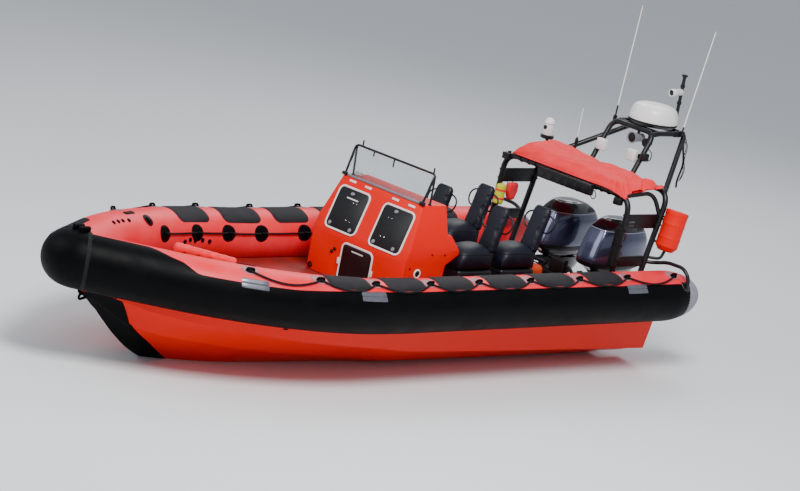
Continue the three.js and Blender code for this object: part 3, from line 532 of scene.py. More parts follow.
def makeStage():
    bpy.ops.mesh.primitive_plane_add(size=stageLook["floorSize"])
    floor = bpy.context.object
    floor.name = "floor"
    material = bpy.data.materials.new("paintedFloor")
    material.use_nodes = True
    shader = material.node_tree.nodes["Principled BSDF"]
    shader.inputs["Base Color"].default_value = linear(stageLook["floor"])
    shader.inputs["Roughness"].default_value = stageLook["floorRoughness"]
    floor.data.materials.append(material)
    world = bpy.data.worlds.new("studio")
    world.use_nodes = True
    background = world.node_tree.nodes["Background"]
    background.inputs["Color"].default_value = linear(stageLook["world"])
    background.inputs["Strength"].default_value = stageLook["worldPower"]
    bpy.context.scene.world = world
    for place, size, power in stageLook["lamps"]:
        bpy.ops.object.light_add(type="AREA", location=place)
        lamp = bpy.context.object
        lamp.data.size = size
        lamp.data.energy = power
        aim = Vector(stageLook["aim"]) - Vector(place)
        lamp.rotation_euler = aim.to_track_quat("-Z", "Y").to_euler()


makeStage()
print("stage set")

# Collar: one centreline for all that lies on it
collar = {
    "radius": 0.2545,
    "halfSpacing": 1.188,
    "axisZ": 0.78,
    "bendX": 0.806,
    "bendRadius": 3.389,
    "bendAngle": 0.64,
    "sheerX": 0.455,
    "sheerRise": 0.166,
    "sheerPower": 1.383,
    "noseX": 3.46,
    "noseBend": 0.096,
    "sternX": -3.18,
    "sternLength": 0.54,
    "seamX": 3.385,
}
straightX = collar["bendX"] + collar["bendRadius"] * math.sin(collar["bendAngle"])
straightY = collar["halfSpacing"] - collar["bendRadius"] * (1 - math.cos(collar["bendAngle"]))
straightS = collar["bendX"] + collar["bendRadius"] * collar["bendAngle"]
cornerX = collar["noseX"] - collar["noseBend"] * (1 - math.sin(collar["bendAngle"]))
cornerS = straightS + (cornerX - straightX) / math.cos(collar["bendAngle"])
tipS = cornerS + collar["noseBend"] * (math.pi / 2 - collar["bendAngle"])


def axisHeight(x):
    part = max(0, x - collar["sheerX"]) / (collar["noseX"] - collar["sheerX"])
    return collar["axisZ"] + collar["sheerRise"] * part ** collar["sheerPower"]


# Length along the centreline from x, and back: x, y and heading at that length
def stationOf(x):
    if x <= collar["bendX"]:
        return x
    if x <= straightX:
        return collar["bendX"] + collar["bendRadius"] * math.asin(
            (x - collar["bendX"]) / collar["bendRadius"]
        )
    return straightS + (x - straightX) / math.cos(collar["bendAngle"])


def pathAt(s):
    if s <= collar["bendX"]:
        return s, collar["halfSpacing"], 0
    if s <= straightS:
        turn = (s - collar["bendX"]) / collar["bendRadius"]
        x = collar["bendX"] + collar["bendRadius"] * math.sin(turn)
        return x, collar["halfSpacing"] - collar["bendRadius"] * (1 - math.cos(turn)), turn
    turn, bend = collar["bendAngle"], collar["noseBend"]
    if s <= cornerS:
        run = s - straightS
        return straightX + run * math.cos(turn), straightY - run * math.sin(turn), turn
    more = turn + (s - cornerS) / bend
    x = cornerX + bend * (math.sin(more) - math.sin(turn))
    return x, bend * math.cos(more), more


def tubeRadius(x):
    part = min(1, max(0, (collar["sternX"] - x) / collar["sternLength"]))
    return collar["radius"] * (1 - part**2) ** 0.58


# A point on the collar: metres along it, degrees round it from outboard through the top
def onTube(s, degrees, lift=0.0, side=1):
    x, y, turn = pathAt(s)
    angle = math.radians(degrees)
    outboard = Vector((math.sin(turn), math.cos(turn), 0))
    away = outboard * math.cos(angle) + Vector((0, 0, 1)) * math.sin(angle)
    point = Vector((x, y, axisHeight(x))) + away * (tubeRadius(x) + lift)
    return Vector((point.x, side * max(point.y, 0.0004), point.z))


# A flat piece (x along, y round, z out) laid on the collar at a place
def layOnTube(piece, x, degrees, side):
    start = stationOf(x)
    for vertex in piece.data.vertices:
        flat = vertex.co.copy()
        swing = math.degrees(flat.y / collar["radius"])
        vertex.co = onTube(start + flat.x, degrees + swing, flat.z, side)
    cleanUp(piece, 0.00002)
    return piece


# A flat rounded patch, its rim lower than its middle
def flatPatch(name, long, wide, corner, thick, rim=0.006, columns=14, rows=14):
    hx, hy = long / 2, wide / 2
    rx, ry = min(corner, hx), min(corner, hy)

    def place(u, v):
        x, y = (2 * u - 1) * hx, (2 * v - 1) * hy
        dx, dy = (abs(x) - (hx - rx)) / rx, (abs(y) - (hy - ry)) / ry
        if dx > 0 and dy > 0:
            pull = max(dx, dy) / math.hypot(dx, dy)
            x = math.copysign(hx - rx + dx * pull * rx, x)
            y = math.copysign(hy - ry + dy * pull * ry, y)
        edge = min(hx - abs((2 * u - 1) * hx), hy - abs((2 * v - 1) * hy))
        return Vector((x, y, thick * min(1, 0.25 + 0.75 * edge / rim)))

    return shapedGrid(name, columns, rows, place, 0.00001)


# The black wear band: its lower edge in degrees round the tube, and its upper edge against x
bandLook = {
    "first": -3.58,
    "low": -102,
    "proud": 0.0021,
    "edge": [
        (-3.58, 40), (-3.2, 44), (-2.4, 44), (-1, 46), (0, 47), (1.0, 47), (1.4, 43), (1.8, 36),
        (2.2, 35), (2.58, 35.5), (2.62, 38), (2.72, 57), (2.81, 65), (2.90, 79), (2.95, 87), (3.0, 88.5),
        (3.385, 90),
    ],
}


def lineBetween(table, x):
    if x <= table[0][0]:
        return table[0][1]
    for (x0, y0), (x1, y1) in zip(table, table[1:]):
        if x <= x1:
            return y0 + (y1 - y0) * (x - x0) / (x1 - x0)
    return table[-1][1]


def makeTube(name, side, node):
    first, last = collar["sternX"] - collar["sternLength"], stationOf(collar["seamX"])
    cone = 0.12

    def place(u, v):
        if u < cone:
            s = first + (collar["sternX"] - first) * (1 - math.cos(u / cone * math.pi / 2))
        else:
            s = collar["sternX"] + (last - collar["sternX"]) * (u - cone) / (1 - cone)
        return onTube(s, 360 * v, 0, side)

    tube = shapedGrid(name, 150, 72, place, 0.0008)
    closeHoles(tube)
    return finishPiece(tube, "hypalonRed", slot="collar_fabric", replaces=[node])


def makeBand(name, side):
    first, last = bandLook["first"], stationOf(collar["seamX"])

    def place(u, v):
        s = first + (last - first) * u
        top = lineBetween(bandLook["edge"], pathAt(s)[0])
        edge = min(1, 0.2 + min(v, 1 - v) * 30)
        return onTube(s, bandLook["low"] + (top - bandLook["low"]) * v, bandLook["proud"] * edge, side)

    band = shapedGrid(name, 190, 60, place, 0.00001)
    return finishPiece(band, "neopreneBlack", slot="black_rubber")


def makeSternCone(name, side):
    first = collar["sternX"] - collar["sternLength"]

    def place(u, v):
        outboard = 0.5 + 0.5 * math.cos(2 * math.pi * v)
        s = first + (0.2 + 0.15 * outboard) * u**1.6
        if u == 0:
            return onTube(first, 0, 0, side) - Vector((0.004, 0, 0))
        return onTube(s, 360 * v, 0.007 * min(1, 0.25 + 4 * (1 - u)), side)

    cone = shapedGrid(name, 16, 48, place, 0.0008)
    return finishPiece(cone, "patchGrey", slot="grey_plastic")


def makeNose():
    halves = []
    for side in (1, -1):
        first = stationOf(collar["seamX"])

        def place(u, v):
            point = onTube(first + (tipS - first) * u, 360 * v, 0.001, 1)
            return Vector((point.x, side * (0 if u > 0.9999 else max(0, point.y - 0.0004)), point.z))

        halves.append(shapedGrid("noseHalf", 28, 64, place, 0.00005))
    nose = joinPieces("noseCap", halves)
    edit(nose, "DESELECT")
    leave()
    for face in nose.data.polygons:
        face.select = all(abs(nose.data.vertices[i].co.y) < 0.00005 for i in face.vertices)
    only(nose)
    bpy.ops.object.mode_set(mode="EDIT")
    bpy.ops.mesh.select_mode(type="FACE")
    bpy.ops.mesh.delete(type="FACE")
    bpy.ops.mesh.select_mode(type="VERT")
    leave()
    cleanUp(nose, 0.0004)
    return finishPiece(nose, "neopreneBlack", slot="black_rubber", replaces=["nose_cap"])


for side, name in bothSides:
    makeTube("collarTube" + name.title(), side, "tube_" + name)
    makeBand("wearBand" + name.title(), side)
    makeSternCone("sternCone" + name.title(), side)
makeNose()
print("collar made")

# What lies on the collar: places in metres along the boat
fittings = {
    "mats": [(1.02, 1.48), (0.335, 0.83), (-0.30, 0.16), (-1.02, -0.51), (-1.71, -1.18), (-2.41, -1.91)],
    "matFrom": 49,
    "matTo": 140,
    "rings": [2.20, 1.56, 0.964, 0.264, -0.38, -1.09, -1.79, -2.49, -3.20],
    "ringAngle": 66,
    "ringLoop": [(-0.034, 0, 0), (-0.03, 0, 0.034), (0.03, 0, 0.034), (0.034, 0, 0)],
    "innerRings": [1.783, 1.253, 0.797, 0.367, -0.202, -0.77, -1.34, -1.91, -2.48],
    "innerAngle": 163,
    "innerLoop": [(-0.03, 0, 0), (-0.026, 0, 0.03), (0.026, 0, 0.03), (0.03, 0, 0)],
    # angle at the rings, droop between them in degrees, height over the tube, points from ring to ring
    "outerLine": (64, 20, 0.016, 12),
    "innerLine": (163, -1.2, 0.02, 8),
    "tapes": [(2.056, 2.279), (0.891, 1.17), (-2.717, -2.428)],
    "tapeAngles": (30.5, 41),
}


def makeMats(side, name):
    wide = math.radians(fittings["matTo"] - fittings["matFrom"]) * collar["radius"]
    middle = (fittings["matTo"] + fittings["matFrom"]) / 2
    mats = []
    for low, high in fittings["mats"]:
        long = stationOf(high) - stationOf(low)
        mat = flatPatch("mat", long, wide, 0.07, 0.007, 0.02, 20, 26)
        centre = pathAt((stationOf(high) + stationOf(low)) / 2)[0]
        mats.append(layOnTube(mat, centre, middle, side))
    finishJoined("treadMats" + name, mats, "matRubber", slot="black_rubber")


def makeRings(side, name):
    patches, loops = [], []
    angle = fittings["ringAngle"]
    for x in fittings["rings"]:
        patches.append(layOnTube(flatPatch("patch", 0.15, 0.13, 0.05, 0.005), x, angle + 6, side))
        loops.append(layOnTube(bentPipe("loop", fittings["ringLoop"], 0.011, 0.03), x, angle, side))
        loops.append(layOnTube(flatPatch("pad", 0.085, 0.06, 0.03, 0.012), x, angle, side))
    angle = fittings["innerAngle"]
    for x in fittings["innerRings"]:
        loops.append(layOnTube(flatPatch("oval", 0.18, 0.165, 0.085, 0.006), x, angle, side))
        loops.append(layOnTube(bentPipe("loop", fittings["innerLoop"], 0.008, 0.02), x, angle, side))
    finishJoined("ringPatches" + name, patches, "hypalonFaded", slot="grey_plastic")
    finishJoined("ringLoops" + name, loops, "neopreneBlack", slot="black_rubber")


# Points of a line that hangs between its rings
def lineRoute(places, angle, droop, lift, steps, side):
    route = []
    for fore, aft in zip(places, places[1:]):
        for i in range(steps):
            t = i / steps
            s = stationOf(fore) + (stationOf(aft) - stationOf(fore)) * t
            route.append(onTube(s, angle - droop * 4 * t * (1 - t), lift, side))
    return route


def makeLines(side, name):
    angle, _, lift, _ = fittings["outerLine"]
    route = lineRoute(fittings["rings"], *fittings["outerLine"], side)
    route.append(onTube(fittings["rings"][-1], angle, lift, side))
    outer = pipeAlong("outerLine", route, 0.009, 3)
    route = lineRoute(fittings["innerRings"], *fittings["innerLine"], side)
    inner = pipeAlong("innerLine", route, 0.0085, 3)
    finishJoined("grabLines" + name, [outer, inner], "nylonBlack", slot="black_rubber")


def makeTapes(side, name):
    tapes = []
    for low, high in fittings["tapes"]:
        for angle in fittings["tapeAngles"]:
            long = stationOf(high) - stationOf(low)
            tape = flatPatch("tape", long, 0.045, 0.004, 0.0085, 0.003, 8, 6)
            tapes.append(layOnTube(tape, (low + high) / 2, angle, side))
    finishJoined("reflectiveTapes" + name, tapes, "tapeSilver", slot="grey_plastic")


for side, name in bothSides:
    makeMats(side, name.title())
    makeRings(side, name.title())
    makeLines(side, name.title())
    makeTapes(side, name.title())
print("collar fittings made")

# Hull: sections in millimetres [x, keel z, strake y, strake z, chine y, chine z]
hullLook = {
    "sections": [
        (-3300, -212, 560, 5, 985, 175),
        (0, -212, 620, 60, 980, 270),
        (455, -212, 635, 111, 975, 313),
        (1200, -212, 650, 185, 950, 380),
        (1700, -212, 590, 225, 860, 430),
        (1950, -172, 540, 245, 790, 455),
        (2200, -102, 480, 275, 700, 485),
        (2420, -20, 420, 300, 610, 510),
        (2640, 92, 340, 330, 500, 540),
        (2830, 232, 250, 375, 385, 570),
        (2990, 378, 165, 460, 270, 610),
        (3120, 505, 95, 550, 170, 640),
        (3260, 610, 30, 625, 60, 660),
    ],
    "strake": 32,
    "chine": 40,
    "aft": -3.3,
    "long": 6.56,
    "steps": 80,
    "well": (transomX, 0.72),
    "sponsonHalf": 1.08,
    "guard": [
        (900, 30), (1700, 50), (2100, 72), (2200, 90), (2400, 150), (2600, 202), (2800, 228), (2900, 256),
        (3050, 248), (3400, 190),
    ],
    "guardProud": 0.012,
    "guardFrom": 0.9,
    "guardLong": 2.385,
    "towEye": [(3.262, 0, 0.62), (3.305, 0, 0.6), (3.3, 0, 0.56), (3.235, 0, 0.575)],
}


# A smooth row of values from a table whose first column is the place
def smoothRow(table, x):
    last = len(table) - 1
    i = next((n for n in range(last) if x <= table[n + 1][0]), last - 1)
    a, b = table[i], table[i + 1]
    before, after = table[max(i - 1, 0)], table[min(i + 2, last)]
    span = b[0] - a[0]
    t = min(max((x - a[0]) / span, 0), 1)
    row = []
    for k in range(1, len(a)):
        slopeA = (b[k] - before[k]) / (b[0] - before[0]) * span
        slopeB = (after[k] - a[k]) / (after[0] - a[0]) * span
        row.append(
            (2 * t**3 - 3 * t**2 + 1) * a[k]
            + (t**3 - 2 * t**2 + t) * slopeA
            + (3 * t**2 - 2 * t**3) * b[k]
            + (t**3 - t**2) * slopeB
        )
    return row


def hullHalf(x):
    keelZ, strakeY, strakeZ, chineY, chineZ = smoothRow(hullLook["sections"], 1000 * x)
    taper = min(1, strakeY / 200)
    step, flat = hullLook["strake"] * taper, hullLook["chine"] * taper
    y = pathAt(stationOf(x))[1] * 1000
    topY = max(y - 90, chineY + flat + 5)
    topZ = axisHeight(x) * 1000 - 210
    half = [
        (0, keelZ), (strakeY, strakeZ), (strakeY + step, strakeZ - 2), (chineY, chineZ),
        (chineY + flat, chineZ - 4), (topY, topZ),
    ]
    return [(a / 1000, b / 1000) for a, b in half]


def hullHeight(x, y):
    half = hullHalf(x)
    for (y0, z0), (y1, z1) in zip(half, half[1:]):
        if y <= y1:
            return z0 + (z1 - z0) * (y - y0) / max(y1 - y0, 1e-6)
    return half[-1][1]


def lofted(name, rings):
    across = len(rings[0])

    def place(u, v):
        ring = rings[round(u * (len(rings) - 1))]
        return ring[round(v * across) % len(ring)]

    return shapedGrid(name, len(rings) - 1, across, place, 0.00005)


def fillHoles(piece):
    edit(piece)
    bpy.ops.mesh.fill_holes(sides=0)
    bpy.ops.mesh.normals_make_consistent(inside=False)
    leave()
    return piece


def keepBeyond(piece, point, normal):
    edit(piece)
    bpy.ops.mesh.bisect(plane_co=point, plane_no=normal, clear_inner=True, use_fill=True)
    leave()
    return piece


def makeHull():
    first, long, steps = hullLook["aft"], hullLook["long"], hullLook["steps"]
    stations = [first + long * i / steps for i in range(steps + 1)]
    rings = []
    for x in stations:
        half = hullHalf(x)
        port = [Vector((x, y, z)) for y, z in half]
        starboard = [Vector((x, -y, z)) for y, z in reversed(half[1:])]
        rings.append(port + starboard)
    wellX, wellY = hullLook["well"]
    whole = fillHoles(lofted("hullShell", rings))
    sponsons = []
    for side in (1, -1):
        sponson = copyPiece(whole, "sponson", Matrix.Identity(4))
        keepBeyond(sponson, (wellX, 0, 0), (-1, 0, 0))
        keepBeyond(sponson, (0, side * wellY, 0), (0, side, 0))
        inner, outer = sorted((side * wellY, side * hullLook["sponsonHalf"]))
        top = blockPiece("sponsonTop", (first, inner, 0.56), (wellX, outer, 0.59), 0.006)
        sponsons += [sponson, top]
    keepBeyond(whole, (wellX, 0, 0), (1, 0, 0))
    hull = joinPieces("hullMoulding", [whole, *sponsons])
    cleanUp(hull, 0.00002)
    return finishPiece(hull, "gelcoatOrange", slot="hull_gelcoat", replaces=["hull"], angle=12)


def makeStemGuard():
    def place(u, v):
        x = hullLook["guardFrom"] + hullLook["guardLong"] * u
        half = smoothRow(hullLook["guard"], 1000 * x)[0] / 1000
        across = (2 * v - 1) * half
        edge = min(1, 0.25 + 22 * min(v, 1 - v)) * hullLook["guardProud"]
        return Vector((x + edge * 0.6 * max(0, (x - 2) / 1.3), across, hullHeight(x, abs(across)) - edge))

    guard = shapedGrid("stemGuard", 90, 48, place, 0.00002)
    eye = bentPipe("towEye", hullLook["towEye"], 0.012, 0.02)
    whole = joinPieces("stemGuard", [guard, eye])
    return finishPiece(whole, "neopreneBlack", slot="black_rubber", replaces=["stem_guard"])


makeHull()
makeStemGuard()
print("hull made")

# Padded pieces: remeshed, blown up a little as cloth over a few frames, and capped
swellSteps = 20


def swell(piece, voxel, pressure, most, pinned):
    applied(piece, "REMESH", mode="VOXEL", voxel_size=voxel)
    before = [v.co.copy() for v in piece.data.vertices]
    group = piece.vertex_groups.new(name="held")
    group.add([i for i, co in enumerate(before) if pinned(co)], 1, "REPLACE")
    cloth = piece.modifiers.new("cloth", "CLOTH")
    cloth.settings.quality = 6
    cloth.settings.mass = 0.4
    cloth.settings.use_pressure = True
    cloth.settings.uniform_pressure_force = pressure
    cloth.settings.effector_weights.gravity = 0
    cloth.settings.vertex_group_mass = group.name
    for step in range(1, swellSteps + 1):
        bpy.context.scene.frame_set(step)
    bpy.ops.object.modifier_apply(modifier=cloth.name)
    for vertex, start in zip(piece.data.vertices, before):
        move = vertex.co - start
        if move.length > most:
            vertex.co = start + move.normalized() * most
    bpy.context.scene.frame_set(1)
    return piece


def surfaceOf(piece):
    return BVHTree.FromPolygons(
        [v.co for v in piece.data.vertices], [tuple(p.vertices) for p in piece.data.polygons]
    )


# Points where rays from outside, aimed at an axis, meet a piece
def hitsOn(tree, starts, targets):
    found = []
    for start, target in zip(starts, targets):
        hit = tree.ray_cast(start, (target - start).normalized())[0]
        if hit:
            found.append(hit)
    return found


# Jockey seats: made once with the cushion's front at x 0, then copied to four places
seatLook = {
    "places": [(1, -0.88, 0.4), (2, -0.88, -0.4), (3, -1.48, 0.4), (4, -1.48, -0.4)],
    # x, top z, half width
    "saddle": [
        (-0.45, 1.035, 0.125), (-0.44, 1.075, 0.148), (-0.40, 1.11, 0.162), (-0.33, 1.132, 0.167),
        (-0.2, 1.126, 0.168), (-0.1, 1.1, 0.163), (-0.04, 1.06, 0.15), (-0.012, 1.0, 0.13),
    ],
    "saddleLow": 0.896,
    # share of the height, half width, half thickness
    "back": [
        (0, 0.098, 0.048), (0.1, 0.11, 0.05), (0.5, 0.114, 0.042), (0.85, 0.112, 0.034), (0.95, 0.1, 0.03),
        (1, 0.078, 0.024),
    ],
    "backLow": (-0.49, 1.046),
    "backTop": (-0.614, 1.502),
    "voxel": 0.01,
    "pressure": 4,
    "most": 0.011,
    # height of each welt round the saddle, and how far it dips at the front and back
    "saddleWelts": [(0.9, 0), (1.045, 0.012)],
    "saddleMiddle": -0.231,
    # where the rays start and end that find a welt's points, from the middle of each cushion
    "saddleRays": (0.6, 0.06),
    "backRays": (0.53, 0.42, 0.4),
    # share of the backrest's height, distance out from its middle
    "grabLoop": [(0.84, 0.1), (0.8, 0.165), (0.72, 0.198), (0.58, 0.198), (0.47, 0.16), (0.46, 0.1)],
    "braceX": [(-0.51, 1.0), (-0.545, 1.1), (-0.6, 1.3)],
    "pod": [(-0.52, deckTop), (-0.5, 0.889), (-0.02, 0.889), (-0.06, deckTop)],
    "plinth": [(-0.526, deckTop), (-0.523, 0.63), (-0.047, 0.63), (-0.054, deckTop)],
}


def roundedRing(half, low, high, middle, soften=(0.72, 0.8, 0.4)):
    ring = []
    for i in range(48):
        angle = 2 * math.pi * i / 48
        c, s = math.cos(angle), math.sin(angle)
        y = half * math.copysign(abs(c) ** soften[0], c)
        if s >= 0:
            z = middle + (high - middle) * abs(s) ** soften[1]
        else:
            z = middle - (middle - low) * abs(s) ** soften[2]
        ring.append((y, z))
    return ring


def makeSaddle():
    look = seatLook
    back, front, steps = look["saddle"][0][0], look["saddle"][-1][0], 30
    low = look["saddleLow"]
    rings = []
    for i in range(steps + 1):
        x = back + (front - back) * i / steps
        top, half = smoothRow(look["saddle"], x)
        ring = roundedRing(half, low, top, low + 0.45 * (top - low))
        rings.append([Vector((x, y, z)) for y, z in ring])
    saddle = fillHoles(lofted("saddle", rings))
    held = look["saddleLow"] + 0.006
    swell(saddle, look["voxel"], look["pressure"], look["most"], lambda co: co.z < held)
    return subdivided(saddle)


def backFrame(share):
    low, top = seatLook["backLow"], seatLook["backTop"]
    along = Vector((top[0] - low[0], 0, top[1] - low[1]))
    ahead = Vector((along.z, 0, -along.x)).normalized()
    return Vector((low[0], 0, low[1])) + along * share, ahead


def makeBackrest():
    rings = []
    for i in range(31):
        middle, ahead = backFrame(i / 30)
        half, thick = smoothRow(seatLook["back"], i / 30)
        ring = roundedRing(half, -thick, thick, 0, (0.5, 0.7, 0.7))
        rings.append([middle + Vector((0, y, 0)) + ahead * depth for y, depth in ring])
    back = fillHoles(lofted("backrest", rings))
    held = seatLook["backLow"][1] + 0.004
    swell(back, seatLook["voxel"], seatLook["pressure"], seatLook["most"], lambda co: co.z < held)
    return subdivided(back)


def makeWelts(saddle, back):
    look = seatLook
    tree = surfaceOf(saddle)
    welts = []
    middleX, (far, near) = look["saddleMiddle"], look["saddleRays"]
    for height, inward in seatLook["saddleWelts"]:
        starts, targets = [], []
        for i in range(96):
            angle = 2 * math.pi * i / 96
            z = height - inward * math.cos(2 * angle)
            starts.append(Vector((middleX + far * math.cos(angle), far * math.sin(angle), z)))
            targets.append(Vector((middleX + near * math.cos(angle), 0, z)))
        welts.append(pipeAlong("welt", hitsOn(tree, starts, targets), 0.0035, 2, True))
    tree = surfaceOf(back)
    far, near, wide = look["backRays"]
    for depth in (0.5, -0.5):
        starts, targets = [], []
        for i in range(80):
            angle = 2 * math.pi * i / 80
            share = 0.5 + far * math.sin(angle)
            middle, ahead = backFrame(share)
            thick = smoothRow(look["back"], min(1, max(0, share)))[1]
            core = backFrame(0.5 + near * math.sin(angle))[0]
            starts.append(middle + Vector((0, wide * math.cos(angle), 0)) + ahead * thick * depth)
            targets.append(core + ahead * thick * depth)
        welts.append(pipeAlong("welt", hitsOn(tree, starts, targets), 0.003, 2, True))
    return joinPieces("seatWelts", welts)


def makeSeatFrame():
    parts = []
    for side in (1, -1):
        corners = []
        for share, out in seatLook["grabLoop"]:
            middle, ahead = backFrame(share)
            corners.append(middle - ahead * 0.012 + Vector((0, side * out, 0)))
        parts.append(bentPipe("grabLoop", corners, 0.0085, 0.05, 3))
    parts.append(blockPiece("backPost", (-0.5, -0.11, 0.89), (-0.466, 0.11, 1.05), 0.008))
    for side in (1, -1):
        brace = [(x, side * 0.06, z) for x, z in seatLook["braceX"]]
        parts.append(bentPipe("brace", brace, 0.012, 0.08, 3))
    return joinPieces("seatFrame", parts)


def makePod():
    return outlinePiece("pod", seatLook["pod"], "y", -0.14, 0.14, 0.03, 4)


def makePlinth():
    return outlinePiece("plinth", seatLook["plinth"], "y", -0.148, 0.148, 0.006)


def makeSeats():
    saddle, back = makeSaddle(), makeBackrest()
    made = {
        "seatSaddle": (saddle, "vinylNavy"),
        "seatBack": (back, "vinylNavy"),
        "seatWelts": (makeWelts(saddle, back), "nylonBlack"),
        "seatFrame": (makeSeatFrame(), "powderCoat"),
        "seatPod": (makePod(), "podBlack"),
        "seatPlinth": (makePlinth(), "gelcoatRed"),
    }
    for number, x, y in seatLook["places"]:
        for name, (piece, material) in made.items():
            twin = copyPiece(piece, name + str(number), Matrix.Translation((x, y, 0)))
            solid = {"seatSaddle": "seat_%d_cushion", "seatPod": "seat_%d_pod"}.get(name)
            stands = [solid % number] if solid else ()
            slot = "seat_vinyl" if material == "vinylNavy" else "painted_tube"
            finishPiece(twin, material, slot=slot, replaces=stands, angle=50)
    for piece, _ in made.values():
        bpy.data.objects.remove(piece)


makeSeats()
print("seats made")

# Roll frame, which the cover and the lights hang on: hoops as [x of the top, z of the top, x of the foot]
frameLook = {
    "half": 0.88,
    "front": (-2.8, 1.705, -2.722),
    "aft": (-3.37, 1.77, -3.104),
    "pipe": 0.03,
    "skin": 0.0302,
    "bend": 0.17,
    # x, distance from the middle and z
    "brace": [(-2.815, 0.8, 1.709), (-3.21, 0.815, 1.751)],
    "bracketZ": 1.096,
    "bracket": [(-3.302, 1.0, 1.108), (-3.345, 1.0, 1.194)],
    "stays": (1.27, 1.5),
    "railZ": 1.046,
    "rail": [
        (-3.29, 0.97, 1.058), (-3.312, 1.1, 1.098), (-3.318, 1.31, 1.1), (-3.324, 1.395, 1.02),
        (-3.328, 1.395, 0.875),
    ],
    "railFoot": (-3.328, 38),
}


def legX(hoop, z):
    topX, topZ, footX = frameLook[hoop]
    return topX + (footX - topX) * (topZ - z) / (topZ - deckTop)


def makeHoop(hoop):
    topX, topZ, footX = frameLook[hoop]
    half = frameLook["half"]
    corners = [(footX, half, deckTop), (topX, half, topZ), (topX, -half, topZ), (footX, -half, deckTop)]
    return bentPipe("hoop", corners, frameLook["pipe"] - 0.0005, frameLook["bend"], 6, 12)


def makeFeet(hoop):
    feet = []
    x = frameLook[hoop][2]
    for side in (1, -1):
        y = side * frameLook["half"]
        z = deckTop + 0.009
        low, high = (x - 0.055, y - 0.055, deckTop), (x + 0.055, y + 0.055, deckTop + 0.01)
        feet.append(blockPiece("footPlate", low, high, 0.003))
        feet.append(turnedPart("weld", (x, y, z)))
        for dx, dy in ((1, 1), (1, -1), (-1, 1), (-1, -1)):
            feet.append(turnedPart("footBolt", (x + 0.041 * dx, y + 0.041 * dy, z)))
    return feet


def makeFrame():
    look = frameLook
    half = look["half"]

    def finishFrame(name, parts, node):
        whole = joinPieces(name, parts)
        finishPiece(whole, "powderCoat", slot="painted_tube", replaces=[node], angle=50)

    finishFrame("rollFrameFront", [makeHoop("front"), *makeFeet("front")], "roll_frame_front")
    parts = [makeHoop("aft"), *makeFeet("aft")]
    for side in (1, -1):
        corners = [(x, side * y, z) for x, y, z in look["brace"]] + [(legX("aft", 1.5), side * half, 1.5)]
        parts.append(bentPipe("brace", corners, 0.0225, look["bend"], 5, 12))
    corners = [(legX("aft", look["bracketZ"]), half, look["bracketZ"])] + look["bracket"]
    parts.append(bentPipe("bracket", corners, 0.016, 0.04))
    for z in look["stays"]:
        x = legX("aft", z)
        parts.append(bentPipe("stay", [(x, 0.89, z), (x - 0.05, 0.93, z)], 0.012, 0.03, 3))
    finishFrame("rollFrameAft", parts, "roll_frame_aft")
    for side, name in bothSides:
        corners = [(legX("aft", look["railZ"]), side * half, look["railZ"])]
        corners += [(x, side * y, z) for x, y, z in look["rail"]]
        rail = bentPipe("rail", corners, 0.0195, 0.06, 5)
        pad = layOnTube(flatPatch("railFoot", 0.13, 0.1, 0.03, 0.012), *look["railFoot"], side)
        finishFrame("quarterRail" + name.title(), [rail, pad], "quarter_rail_" + name)


makeFrame()
print("roll frame made")

# Righting bag under its canvas cover: the cover's edges measured on the photograph
coverLook = {
    "front": -2.74,
    "back": -3.345,
    "under": 1.728,
    "lean": 0.114,
    "middle": -3.04,
    "halfWide": 0.3,
    "aftY": -0.768,
    "long": 1.608,
    # the simulation's voxel, pressure and largest movement
    "swell": (0.0115, 3, 0.022),
    # y, height of the crest over the pipes
    "crest": [
        (-0.745, 0.06), (-0.72, 0.105), (-0.62, 0.12), (-0.5, 0.112), (-0.1, 0.09), (0.3, 0.08),
        (0.6, 0.07), (0.78, 0.06), (0.84, 0.05),
    ],
}


def makeCover():
    look = coverLook

    def place(u, v):
        y = look["aftY"] + look["long"] * u
        crest = smoothRow(look["crest"], y)[0]
        angle = 2 * math.pi * v
        c, s = math.cos(angle), math.sin(angle)
        middle = (look["front"] + look["back"]) / 2
        half = (look["front"] - look["back"]) / 2
        x = middle + half * math.copysign(abs(c) ** 0.45, c)
        base = look["under"] + look["lean"] * (look["front"] - x) + 0.004
        z = base + crest * (abs(s) ** 0.7 if s > 0 else 0)
        return Vector((x, y, z))

    cover = fillHoles(shapedGrid("rightingBagCover", 70, 72, place, 0.0004))
    held = lambda co: co.z < look["under"] + look["lean"] * (look["front"] - co.x) + 0.006
    swell(cover, *look["swell"], held)
    creaseCover(cover)
    subdivided(cover)
    finishPiece(cover, "canvasRed", slot="red_canvas", replaces=["righting_bag"], angle=60)


# A narrow valley once in every whole number
def pinch(along, width):
    return max(0, 1 - abs(along % 1 - 0.5) / width)


